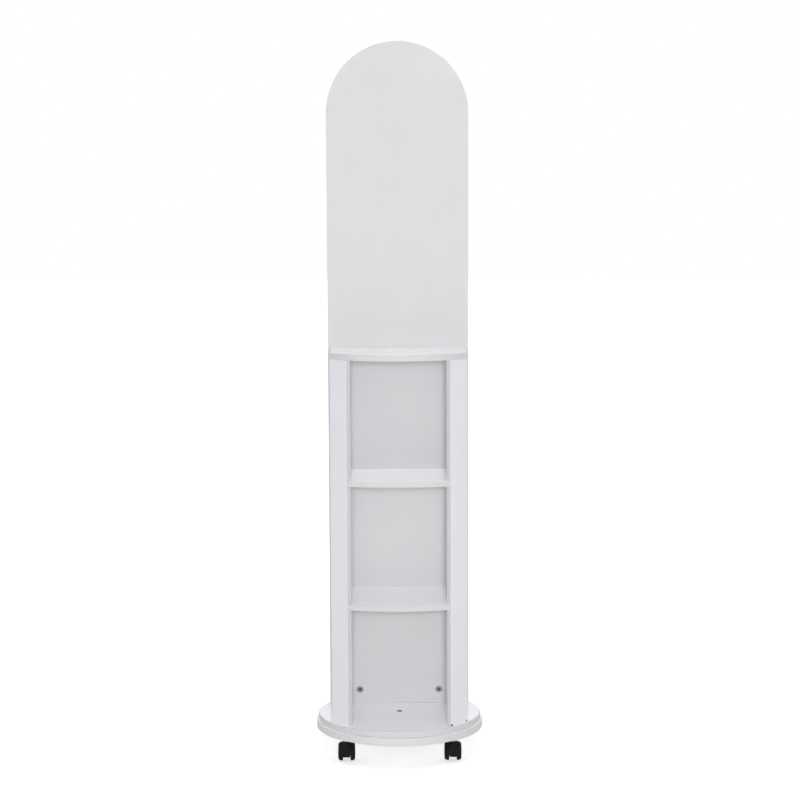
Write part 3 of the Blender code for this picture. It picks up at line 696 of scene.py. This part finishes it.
def bore_row(middle, axis, diameter, length, kind=0):
    """A straight bore, or one that narrows upwards where its kind is 1."""
    size = (diameter / 2, diameter / 2, length)
    return {"middle": Vector(middle), "axis": axis, "size": size, "kind": kind}


def all_bores():
    """Every hole that a fastener of the frame needs, and the hole in the middle of the base."""
    rows = []
    for node in frame["nodes"]:
        middle = node_middle(node)
        size = node_size(node)
        if "_dowel" in node or "_cam_" in node:
            pick = min if "_cam_" in node and "_bolt_" not in node else max
            axis = pick(range(3), key=lambda i: size[i])
            width = size[(axis + 1) % 3]
            rows.append(bore_row(middle, axis, width + 2 * SEAT, size[axis] + 2 * SEAT))
        elif node.startswith("base_screw"):
            rows.append(bore_row(middle, 2, SCREW_D + 2 * SEAT, size.z + 2 * SEAT))
            sink = (*middle.xy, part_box(node)[0].z + (SINK_H / 2 - SINK_OVER))
            rows.append(bore_row(sink, 2, SINK_D, SINK_H, 1))
        elif node.endswith("_insert"):
            barrel = STEM_D + 4 * SEAT + 2 * INSERT_WALL
            rows.append(bore_row(middle, 2, barrel, size.z + 2 * SEAT))
    base = node_middle("base_upper_disc")
    rows.append(bore_row(base, 2, CENTRE_HOLE_D + 4 * SEAT, 2 * node_size("base_upper_disc").z))
    return rows


ALL_BORES = all_bores()


def bores_of(node):
    """The holes that meet one board, as points for its recipe."""
    low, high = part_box(node)
    found = []
    for row in ALL_BORES:
        reach = [row["size"][0]] * 3
        reach[row["axis"]] = row["size"][2] / 2
        middle = row["middle"]
        meets = [low[i] + SEAT - reach[i] < middle[i] < high[i] - SEAT + reach[i] for i in range(3)]
        if all(meets) and not (node == "base_lower_disc" and middle.xy.length < SEAT):
            found.append(row)
    return point_mesh(f"{node}_bores", [row["middle"] for row in found], {
        "bore_turn": ("FLOAT_VECTOR", [AXIS_TURN[row["axis"]] for row in found]),
        "bore_size": ("FLOAT_VECTOR", [row["size"] for row in found]),
        "bore_kind": ("INT", [row["kind"] for row in found]),
    })


# Pieces

def dress(name, mesh, body, nodes):
    """Put a finished mesh in the scene, on its body, in place of its nodes."""
    piece = placed(name, mesh)
    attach(piece, body)
    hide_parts(*nodes)
    return piece


FOOT_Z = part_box("front_stile_right")[0].z
FOOT_CHIPS = (  # place and reach
    ((*stile_point(STILE_W, 0), FOOT_Z), 0.0095),
    ((*corner_point(0), FOOT_Z), 0.0070),
)
# One white melamine in several tones, with painted light and shade: the panel's tone is painted darker,
# and the shelves' and the base's are painted lighter than the tower's, for how light falls on them.
PANEL_WHITE_PAINTED_SHADE = (0.70, 0.70, 0.705)
TOWER_WHITE = (0.845, 0.83, 0.88)
SHELF_WHITE_PAINTED_LIGHT = (0.905, 0.89, 0.945)
BASE_WHITE_PAINTED_LIGHT = (0.94, 0.925, 0.97)

# The board, shelf, top and base copies of the melamine differ in tone by painted light and shade.
MELAMINE = melamine_finish("white_melamine_board", PANEL_WHITE_PAINTED_SHADE)
LIT_SHELF_MELAMINE = melamine_finish("white_melamine_shelf", SHELF_WHITE_PAINTED_LIGHT, pearl=0.8)
LIT_TOP_MELAMINE = melamine_finish("white_melamine_top", SHELF_WHITE_PAINTED_LIGHT, pearl=0.25)
LIT_BASE_MELAMINE = melamine_finish("white_melamine_base", BASE_WHITE_PAINTED_LIGHT, pearl=1.0)
TOWER_MELAMINE = melamine_finish("white_melamine_tower", TOWER_WHITE, FOOT_CHIPS)
BAND = band_finish("white_edge_band", (0.655, 0.655, 0.66))
# The disc bands are copies of the edge band, with tones painted lighter for light on the discs' rims.
LIT_UPPER_BAND = band_finish("upper_disc_band", (0.675, 0.675, 0.705))
LIT_LOWER_BAND = band_finish("lower_disc_band", (0.725, 0.725, 0.725))
RAW_BOARD = raw_board_finish()
MIRROR = noise_finish(  # a clear reflection, with the faintest haze where a cloth passed
    "mirror_silver", (7.0, 3.0), (0.78, 0.81, 0.80), (0.81, 0.835, 0.825), (0.008, 0.030, 0.35, 0.75),
    sockets=METAL, stretch=(1.0, 1.0, 0.35),
)
GLASS_EDGE = noise_finish(  # ground and polished, sea green where it is looked into
    "polished_glass_edge", (90.0, 3.0), (0.20, 0.38, 0.33), (0.42, 0.60, 0.54), (0.08, 0.22),
    sockets={"IOR": 1.52},
)
BACKING = noise_finish(  # grey paint on the back of the silver
    "mirror_backing_paint", (120.0, 4.0), (0.16, 0.18, 0.19), (0.24, 0.26, 0.27), (0.5, 0.7), (0.2, 0.0003)
)
FOAM = foam_finish()
NYLON = noise_finish(  # moulded, with a fine spark-eroded grain and a soft sheen
    "black_nylon", (60.0, 3.0), (0.0055, 0.0050, 0.0060), (0.0095, 0.0088, 0.0102), (0.36, 0.52),
    (0.25, 0.0002), BLACK, grain=(2600.0, 3.0, 0.6),
)
TREAD = tread_finish()
ZINC = noise_finish(  # die-cast: matt, lightly pitted, warmer in its hollows
    "zinc_alloy", (900.0, 4.0, 0.6), (0.42, 0.40, 0.36), (0.64, 0.62, 0.58), (0.34, 0.56), (0.35, 0.0002),
    METAL,
)
STEEL = noise_finish(  # plated, with fine turning marks round its length
    "bright_steel", (160.0, 3.0), (0.50, 0.50, 0.51), (0.68, 0.68, 0.69), (0.20, 0.40), (0.15, 0.0001),
    METAL, (1.0, 1.0, 40.0),
)
RECESS_SHADE = noise_finish(  # painted shade: a dark, dull colour inside a drive recess, where shade falls
    "recess_grime", (1800.0, 3.0, 0.6), (0.010, 0.009, 0.008), (0.045, 0.041, 0.036), (0.6, 0.85),
    (0.4, 0.0002),
)
BEECH = [beech_finish(axis) for axis in range(3)]

BOARD = board_recipe()
TURNED = turned_recipe(False)
RECESSED = turned_recipe(True)


def make_board(node, outline, rounding, corner, turn=LYING,
               face=MELAMINE, edge=BAND, back=None, rim_facets=RIM_FACETS):
    middle = node_middle(node)
    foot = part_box(node)[0].z
    size = node_size(node)
    standing = turn == UPRIGHT
    bores = placed(f"{node}_bores", bores_of(node))
    path = line_mesh(node, softened(outline, corner), True)
    mesh = BOARD.bake(f"{node}_finished", path, {
        "Thickness": size.y if standing else size.z,
        "Rounding": rounding,
        "Rim facets": rim_facets,
        "Place": (0.0, middle.y, foot) if standing else (0.0, 0.0, middle.z),
        "Turn": turn,
        "Bores": bores,
        "Edge finish": edge,
        "Face finish": face,
        "Bore finish": RAW_BOARD,
        "Back finish": back or face,
    })
    bpy.data.objects.remove(bores)
    return dress(f"{node}_finished", mesh, "root", [node])


def band_end(mesh, sign):
    """Edge band on the long edge where a stile ends beside the opening."""
    way = Vector((-sign * sin(STILE_TURN), -cos(STILE_TURN)))
    band = list(mesh.materials).index(BAND)
    for face in mesh.polygons:
        if face.normal.xy.dot(way) > BAND_FACING:
            face.material_index = band


def make_boards():
    make_board("arched_board", arch_outline("arched_board"), BOARD_ROUND, CORNER_ROUND, UPRIGHT)
    make_board(
        "mirror_glass", arch_outline("mirror_glass"), GLASS_ROUND, 2 * GLASS_ROUND, UPRIGHT,
        BACKING, GLASS_EDGE, MIRROR,
    )
    for disc, band in (("base_lower_disc", LIT_LOWER_BAND), ("base_upper_disc", LIT_UPPER_BAND)):
        make_board(
            disc, disc_outline(disc), DISC_ROUND, CORNER_ROUND,
            face=LIT_BASE_MELAMINE, edge=band, rim_facets=DISC_RIM_FACETS,
        )
    for shelf in ("lower_shelf", "upper_shelf"):
        make_board(shelf, middle_shelf_outline(), BOARD_ROUND, CORNER_ROUND, face=LIT_SHELF_MELAMINE)
    make_board("top_shelf", top_shelf_outline(), BOARD_ROUND, CORNER_ROUND, face=LIT_TOP_MELAMINE)
    for side, sign in SIDES.items():
        for kind, line in (("side_board", side_outline()), ("front_stile", stile_outline())):
            piece = make_board(
                f"{kind}_{side}", line if sign > 0 else mirrored(line), TOWER_ROUND, UPRIGHT_ROUND,
                face=BAND, edge=TOWER_MELAMINE,
            )
            if kind == "front_stile":
                band_end(piece.data, sign)


def make_turned(name, profile, finish, seats, nodes, recess=None, recess_shade=None, closed=False,
                facets=TURNED_FACETS, body="root"):
    """A turned piece on each seat, a place and a turn. The profile is (radius, height), inside last."""
    line = line_mesh(f"{name}_profile", [(r, -z) for r, z in profile], closed)
    drawn = placed(f"{name}_profile", line)
    places = point_mesh(f"{name}_seats", [place for place, turn in seats], {
        "seat_turn": ("FLOAT_VECTOR", [turn for place, turn in seats]),
    })
    values = {"Profile": drawn, "Facets": facets, "Finish": finish}
    recipe = TURNED
    holders = [drawn]
    # A recess is cut and coloured with painted shade.
    if recess:
        recipe = RECESSED
        holders.append(placed(f"{name}_recess", recess))
        values["Recess"] = holders[-1]
        values["Recess finish"] = recess_shade
    mesh = recipe.bake(name, places, values)
    for holder in holders:
        bpy.data.objects.remove(holder)
    return dress(name, mesh, body, nodes)


def made_mesh(name, work):
    """What was built in a bmesh, as a mesh."""
    mesh = bpy.data.meshes.new(name)
    work.to_mesh(mesh)
    work.free()
    return mesh


def add_solid(work, bottom, top):
    """A solid between two loops of points, the upper one over the lower."""
    low = [work.verts.new(point) for point in bottom]
    high = [work.verts.new(point) for point in top]
    work.faces.new(list(reversed(low)))
    work.faces.new(high)
    for i in range(len(low)):
        j = (i + 1) % len(low)
        work.faces.new((low[i], low[j], high[j], high[i]))


def cross_recess(across, slot, hub, top, depth, extra=None):
    """A cutter for a cross recess with a round hub, narrower at its floor, and with it a plain block."""
    work = bmesh.new()
    a = across / 2
    b = slot / 2
    start = asin(b / hub) + radians(3)
    plus = []
    for quarter in range(4):
        arm = [(a, -b), (a, b)] + arc((0, 0), hub, start, pi / 2 - start, 4)
        for x, y in arm:
            for turn in range(quarter):
                x, y = -y, x
            plus.append((x, y))
    loops = []
    for z, share in zip((top - depth, top + depth), RECESS_TAPER):
        loops.append([(x * share, y * share, z) for x, y in plus])
    add_solid(work, *loops)
    if extra:
        (x0, y0, z0), (x1, y1, z1) = extra
        square = [(x0, y0), (x1, y0), (x1, y1), (x0, y1)]
        add_solid(work, [(x, y, z0) for x, y in square], [(x, y, z1) for x, y in square])
    return made_mesh("cross_recess", work)


def way_turn(x_axis, y_axis, z_axis):
    """The turn that takes a seat's own axes to three directions."""
    return tuple(Matrix((x_axis, y_axis, z_axis)).transposed().to_euler())


def make_cam_locks():
    """Cam locks: the pair at the arched board's foot, and one in each side board."""
    for kind, board in (("board", "arched_board"), ("side", "side_board_left")):
        nodes = [f"{kind}_cam_{side}" for side in SIDES]
        size = node_size(nodes[0])
        radius = size.z / 2
        depth = min(size) - CAM_FACE_RIM
        board_t = min(node_size(board))
        rim = CAM_FACE_RIM
        profile = [
            (0, rim - CAM_FACE_DIP), (radius * 0.62, rim - CAM_FACE_DIP), (radius * 0.66, rim),
            (radius - rim, rim), (radius - rim * 0.3, rim * 0.7),
            (radius, 0), (radius, -depth), (0, -depth),
        ]
        slot_w = BOLT_D + 4 * SEAT
        slot = (
            (-slot_w / 2, -BOLT_HEAD_L, -depth - TOOL_OVER),
            (slot_w / 2, radius + TOOL_OVER, slot_w / 2 - board_t / 2),
        )
        recess = cross_recess(CAM_DRIVE_W, CAM_DRIVE_SLOT, CAM_HUB, rim, 1.4 * CAM_DRIVE_SLOT, slot)
        seats = []
        for node, sign in zip(nodes, SIDES.values()):
            low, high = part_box(node)
            middle = node_middle(node)
            if kind == "board":
                middle.y = low.y + rim
                turn = way_turn((-1, 0, 0), (0, 0, -1), (0, -1, 0))
            else:
                middle.x = (high.x - rim) if sign > 0 else (low.x + rim)
                turn = way_turn((0, sign, 0), (0, 0, 1), (sign, 0, 0))
            seats.append((middle, turn))
        make_turned(f"{kind}_cam_locks", profile, ZINC, seats, nodes, recess, RECESS_SHADE)


def make_base_screws():
    """Countersunk screws from below, with cross recesses."""
    nodes = [f"base_screw_{number}" for number in (1, 2, 3)]
    length = node_size(nodes[0]).z
    shank = SCREW_D / 2
    head = SCREW_HEAD_D / 2
    profile = [(0, length), (shank * 0.3, length - 0.0006), (shank * 0.8, length - SCREW_D)]
    crest = length - SCREW_D
    neck = head - shank
    while crest - SCREW_PITCH > neck + 0.002:
        profile += [(shank, crest - SCREW_PITCH / 4), (shank * SCREW_ROOT, crest - SCREW_PITCH * 0.75)]
        crest -= SCREW_PITCH
    profile += [(shank * 0.8, neck + 0.001), (shank, neck), (head, SOFT), (head - SOFT, 0), (0, 0)]
    recess = cross_recess(SCREW_DRIVE_W, SCREW_DRIVE_SLOT, SCREW_HUB, 0.0, SCREW_DRIVE_DEPTH)
    recess.transform(Matrix.Rotation(pi, 4, "X"))
    seats = []
    for node in nodes:
        middle = node_middle(node)
        place = (*middle.xy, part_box(node)[0].z)
        seats.append((place, (0.0, 0.0, atan2(middle.y, middle.x))))
    make_turned("base_screws", profile, STEEL, seats, nodes, recess, RECESS_SHADE)


def make_stems_and_inserts():
    """The casters' swivel stems and the flanged inserts that they screw into."""
    nodes = [f"{corner}_caster_stem" for corner in CORNERS]
    low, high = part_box(nodes[0])
    stem = STEM_D / 2
    collar = COLLAR_D / 2
    collar_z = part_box("front_left_caster_hood")[1].z + SEAT
    collar_top = collar_z + COLLAR_H
    groove = low.z + STEM_D / 2
    edge = TURNED_EDGE
    profile = [(0, high.z), (stem - edge, high.z), (stem, high.z - edge)]
    crest = high.z - edge
    while crest - STEM_PITCH > collar_top + edge:
        profile += [(stem * STEM_ROOT, crest - STEM_PITCH / 2), (stem, crest - STEM_PITCH)]
        crest -= STEM_PITCH
    profile += [(stem, collar_top), (collar - edge, collar_top), (collar, collar_top - edge)]
    profile += [(collar, collar_z + edge), (collar - edge, collar_z), (stem, collar_z)]
    profile += [(stem, groove + STEM_GROOVE), (stem - STEM_GROOVE, groove), (stem, groove - STEM_GROOVE)]
    profile += [(stem, low.z + edge), (stem - edge, low.z), (0, low.z)]
    seats = [((*node_middle(node).xy, 0.0), LYING) for node in nodes]
    make_turned("caster_stems", profile, STEEL, seats, nodes)

    nodes = [f"{corner}_caster_insert" for corner in CORNERS]
    low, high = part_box(nodes[0])
    bore = stem + SEAT
    barrel = bore + INSERT_WALL
    flange = node_size(nodes[0]).y / 2
    profile = [
        (bore, high.z), (barrel, high.z), (barrel, low.z + FLANGE_T),
        (flange - edge, low.z + FLANGE_T), (flange, low.z + FLANGE_T - edge),
        (flange, low.z + edge), (flange - edge, low.z), (bore, low.z),
    ]
    make_turned("caster_inserts", profile, STEEL, seats, nodes, closed=True)


def wheel_profile():
    """A wheel about its axle: hub cap, dished face, rim, rounded tread, and the axle's bore."""
    face = WHEEL_W / 2
    rim = WHEEL_R - WHEEL_RIM
    bore = AXLE_D / 2 + SEAT
    bore_end = WHEEL_W - WHEEL_DISH - WHEEL_CAP - face
    hub = WHEEL_HUB
    dish = face - WHEEL_DISH
    profile = [(0, dish + 0.0007), (hub * 0.55, dish + 0.00065), (hub * 0.85, dish + 0.0005)]
    profile += [(hub, dish + SOFT), (hub + 2 * SOFT, dish), (rim - 3 * SOFT, dish), (rim, dish + SOFT)]
    profile += [(rim + WHEEL_DISH * 0.7, face - SOFT), (rim + WHEEL_DISH * 1.3, face)]
    for r, z in arc((0, 0), 1.0, pi / 2, 0, SHOULDER_FACETS):
        profile.append((WHEEL_R - WHEEL_ROUND_UP * (1 - r), face - WHEEL_ROUND_IN * (1 - z)))
    inner = WHEEL_INNER_ROUND
    profile += arc((WHEEL_R - inner, inner - face), inner, 0, -pi / 2, SHOULDER_FACETS // 2)
    profile += [(bore + 3 * SOFT, -face), (bore, 3 * SOFT - face), (bore, bore_end), (0, bore_end)]
    return profile


def make_wheels():
    profile = wheel_profile()
    for corner in CORNERS:
        for side, sign in SIDES.items():
            node = f"{corner}_caster_{side}_wheel"
            turn = way_turn((0, 0, -sign), (0, 1, 0), (sign, 0, 0))
            middle = node_middle(node)
            middle.z = WHEEL_R
            make_turned(
                f"{node}_finished", profile, TREAD, [(middle, turn)], [node],
                facets=WHEEL_FACETS, body=node,
            )


# Hoods

def lathe_mesh(name, profile, facets):
    """A closed profile of (radius, height) turned about Z, as a tool for the hood."""
    work = bmesh.new()
    verts = [work.verts.new((r, 0.0, z)) for r, z in profile]
    for first, second in zip(verts, verts[1:]):
        work.edges.new((first, second))
    bmesh.ops.spin(
        work, geom=work.verts[:] + work.edges[:], cent=(0, 0, 0), axis=(0, 0, 1),
        angle=2 * pi, steps=facets,
    )
    bmesh.ops.remove_doubles(work, verts=work.verts, dist=LATHE_WELD)
    bmesh.ops.recalc_face_normals(work, faces=work.faces)
    return made_mesh(name, work)


def prism_mesh(name, outline, bottom, top):
    """An outline in XY pulled up between two heights."""
    work = bmesh.new()
    add_solid(work, [(x, y, bottom) for x, y in outline], [(x, y, top) for x, y in outline])
    bmesh.ops.recalc_face_normals(work, faces=work.faces)
    return made_mesh(name, work)


def in_order(mesh):
    """The mesh with its points and faces sorted, because a boolean's come in another order each run."""
    places = [tuple(vert.co) for vert in mesh.vertices]
    order = sorted(range(len(places)), key=lambda i: places[i])
    rank = {old: new for new, old in enumerate(order)}
    faces = []
    for face in mesh.polygons:
        loop = [rank[i] for i in face.vertices]
        first = loop.index(min(loop))
        faces.append(loop[first:] + loop[:first])
    result = bpy.data.meshes.new(mesh.name)
    result.from_pydata([places[i] for i in order], [], sorted(faces))
    return result


ACROSS = Matrix(((0, 1, 0), (0, 0, 1), (1, 0, 0))).transposed().to_4x4()  # Z turns to X, X to Y


def shoulder(middle, end, run):
    """A rounded shoulder of (radius, height), from its outer end in to the web's face."""
    quarter = arc((0, 0), 1.0, 0, pi / 2, SHOULDER_FACETS)
    return [(end + (middle - end) * rise, WEB_W / 2 + run * out) for out, rise in quarter]


def hood_mesh(axle_z, hood_top):
    """A round-shouldered drum over both wheels with a stem boss, hollowed for the wheels beside a web."""
    half = HOOD_W / 2
    profile = [(0, half)] + shoulder(HOOD_R, HOOD_END_R, half - WEB_W / 2)
    profile += [(radius, -z) for radius, z in reversed(profile)]
    axle = Matrix.Translation((0, TRAIL, axle_z)) @ ACROSS
    drum_mesh = lathe_mesh("hood_drum", profile, WHEEL_FACETS)
    drum_mesh.transform(axle)
    drum = placed("hood_drum", drum_mesh)
    tools = []

    def tool(operation, mesh, place):
        mesh.transform(place)
        holder = placed(mesh.name, mesh)
        tools.append(holder)
        cut = drum.modifiers.new(mesh.name, "BOOLEAN")
        cut.operation = operation
        cut.solver = "EXACT"
        cut.object = holder

    boss_top = hood_top - axle_z
    boss = [(0, boss_top), (BOSS_R - BOSS_EDGE, boss_top), (BOSS_R - SOFT, boss_top - SOFT)]
    boss += [(BOSS_R, boss_top - BOSS_EDGE), (BOSS_R + BOSS_DRAFT, 0), (0, 0)]
    tool("UNION", lathe_mesh("boss", boss, TURNED_FACETS), Matrix.Translation((0, 0, axle_z)))

    reach = 2 * HOOD_R
    well = [(0, WEB_W / 2 + WELL_RUN)] + shoulder(WELL_R, WELL_END_R, WELL_RUN) + [(0, WEB_W / 2)]
    open_part = [(0, 0), (reach * cos(FENDER_FRONT), reach * sin(FENDER_FRONT)), (-reach, -reach)]
    open_part += [(reach, -reach), (reach * cos(FENDER_REAR), reach * sin(FENDER_REAR))]
    for side, sign in SIDES.items():
        turned = [(radius, sign * z) for radius, z in well]
        tool("DIFFERENCE", lathe_mesh(f"well_{side}", turned, WELL_FACETS), axle)
        ends = sorted((sign * WEB_W / 2, sign * (half + TOOL_OVER)))
        tool("DIFFERENCE", prism_mesh(f"open_{side}", open_part, *ends), axle)

    wide = 4 * HOOD_R
    floor = [(-wide, -wide), (wide, -wide), (wide, wide), (-wide, wide)]
    tool("DIFFERENCE", prism_mesh("under_web", floor, -wide, WEB_CLEARANCE), Matrix.Identity(4))
    bore = AXLE_D / 2 + SEAT
    bore_line = [(0, half), (bore, half), (bore, -half), (0, -half)]
    tool("DIFFERENCE", lathe_mesh("axle_bore", bore_line, AXLE_BORE_FACETS), axle)
    stem = STEM_D / 2 + SEAT
    stem_line = [(0, TOOL_OVER), (stem, TOOL_OVER), (stem, -STEM_BORE_L), (0, -STEM_BORE_L)]
    socket = lathe_mesh("stem_bore", stem_line, BORE_FACETS)
    tool("DIFFERENCE", socket, Matrix.Translation((0, 0, hood_top)))

    work = bmesh.new()
    work.from_mesh(in_order(plain_mesh(drum)))
    for holder in [drum] + tools:
        bpy.data.objects.remove(holder)
    bmesh.ops.remove_doubles(work, verts=work.verts, dist=HOOD_WELD)
    bmesh.ops.dissolve_limit(work, angle_limit=HOOD_FLAT, verts=work.verts, edges=work.edges)
    bmesh.ops.recalc_face_normals(work, faces=work.faces)
    outer = [edge for edge in work.edges if edge.is_convex and edge.calc_face_angle(0.0) > SHARP_EDGE]
    bmesh.ops.bevel(
        work, geom=outer, offset=HOOD_SOFT, offset_type="OFFSET", segments=HOOD_SOFT_FACETS, profile=0.5,
        affect="EDGES", clamp_overlap=True,
    )
    bmesh.ops.remove_doubles(work, verts=work.verts, dist=WELD)
    return made_mesh("hood", work)


def make_hoods():
    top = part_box("front_left_caster_hood")[1].z
    shape = hood_mesh(node_middle("front_left_caster_axle").z, top)
    shape.shade_smooth()
    shape.set_sharp_from_angle(angle=SHARP_EDGE)
    shape.materials.append(NYLON)
    even = even_mesh(placed("hood_shape", shape))
    for corner in CORNERS:
        stem = node_middle(f"{corner}_caster_stem")
        mesh = even.copy()
        mesh.transform(Matrix.Translation((stem.x, stem.y, 0)))
        node = f"{corner}_caster_hood"
        dress(f"{node}_finished", mesh, f"{corner}_caster", [node])


def finish_plain_nodes():
    """Finishes for the frame's own pieces that stay: dowels, bolts, axles and tapes."""
    for name, node in frame["nodes"].items():
        size = node_size(name)
        if "_dowel" in name:
            finish = BEECH[max(range(3), key=lambda i: size[i])]
        elif "_cam_bolt_" in name or name.endswith("_axle"):
            finish = STEEL
        elif name.startswith("mirror_tape"):
            finish = FOAM
        else:
            continue
        node.data.materials.clear()
        node.data.materials.append(finish)


make_boards()
make_cam_locks()
make_base_screws()
make_stems_and_inserts()
make_wheels()
make_hoods()
finish_plain_nodes()


# Camera, at the photograph's angle, for a square picture

SENSOR_MM = 36.0
LENS_MM = 87.445
LENS_SHIFT = (0.00093, 0.03)
CAMERA_PLACE = (-0.00925, -4.62240, 1.27053)
CAMERA_YAW = -0.00246
CAMERA_DIP = 0.10338
CAMERA_ROLL = -0.00416
lens = bpy.data.cameras.new("front_view")
lens.sensor_fit = "HORIZONTAL"
lens.sensor_width = SENSOR_MM
lens.lens = LENS_MM
lens.shift_x, lens.shift_y = LENS_SHIFT
camera = placed("front_view", lens)
camera.matrix_world = (
    Matrix.Translation(CAMERA_PLACE)
    @ Matrix.Rotation(CAMERA_YAW, 4, "Z")
    @ Matrix.Rotation(pi / 2 - CAMERA_DIP, 4, "X")
    @ Matrix.Rotation(CAMERA_ROLL, 4, "Z")
)
scene.camera = camera


# Light and stage

LAMPS = (  # name, power, size, place and target
    ("key", 124.0, 0.62, (0.05, -4.8, 1.31), (0, 0, 0.85)),
    ("high", 8.0, 1.2, (0.3, -4.6, 2.4), (0, 0, 0.85)),
    ("rear_left", 55.0, 1.8, (-4.0, 2.6, 1.5), (0, 0, 0.6)),
    ("rear_right", 55.0, 1.8, (4.0, 2.6, 1.5), (0, 0, 0.6)),
    ("top", 8.0, 2.0, (0.3, -0.6, 3.8), (0, 0, 0.5)),
)
AMBIENT = 0.36
FLOOR_COLOUR = 0.80
FLOOR_GLOW = 0.55  # what the eye sees of the floor beside its shading, near the base
FLOOR_NEAR = 0.5
FLOOR_FAR = 2.5  # past here the floor is plain white
FLOOR_MIRRORED = (0.22, 0.70)  # share of that glow which a mirror sees, nearby and at the horizon
FLOOR_REACH = 40.0


def soft_lamp(name, power, size, place, target):
    """A round lamp that no gloss shows."""
    panel = bpy.data.lights.new(name, "AREA")
    panel.shape = "DISK"
    panel.size = size
    panel.energy = power
    lamp = placed(name, panel)
    lamp.visible_glossy = False
    lamp.location = place
    lamp.rotation_euler = (Vector(target) - Vector(place)).to_track_quat("-Z", "Y").to_euler()


def seen_rays(tree):
    """1 for rays from the camera, off gloss and through glass, which see the plain white."""
    rays = tree.step("LightPath", {}, "Is Camera Ray")
    for label in ("Is Glossy Ray", "Is Transmission Ray"):
        rays = tree.math("MAXIMUM", rays, tree.step("LightPath", {}, label))
    return rays


def white_room():
    world = bpy.data.worlds.new("white_room")
    world.use_nodes = True
    scene.world = world
    sky = world.node_tree.nodes["Background"].inputs
    tree = Tree(world.node_tree, "ShaderNode")
    strength = tree.step("MapRange", {"Value": seen_rays(tree), 3: AMBIENT, 4: 1.0})
    world.node_tree.links.new(strength, sky["Strength"])
    sky["Color"].default_value = grey(1.0)


def pale_floor():
    work = bmesh.new()
    bmesh.ops.create_circle(work, cap_ends=True, segments=FLOOR_FACETS, radius=FLOOR_REACH)
    floor = placed("floor", made_mesh("floor", work))
    finish = Finish("pale_floor", {"Roughness": 0.9, "Base Color": grey(FLOOR_COLOUR)})
    away = finish.vector_math("LENGTH", "Value", finish.place)
    level = finish.ramp(away, FLOOR_GLOW, 1.0, FLOOR_NEAR, FLOOR_FAR)
    camera_ray = finish.step("LightPath", {}, "Is Camera Ray")
    mirrored_share = finish.ramp(away, *FLOOR_MIRRORED, 2 * FLOOR_FAR, 0.9 * FLOOR_REACH)
    share = finish.ramp(camera_ray, mirrored_share, 1.0, 0.0, 1.0)
    glow = finish.math("MULTIPLY", finish.math("MULTIPLY", seen_rays(finish), share), level)
    finish.tree.links.new(glow, finish.shader["Emission Strength"])
    finish.shader["Emission Color"].default_value = grey(1.0)
    floor.data.materials.append(finish.material)


for row in LAMPS:
    soft_lamp(*row)
white_room()
pale_floor()
scene.view_settings.view_transform = "Standard"
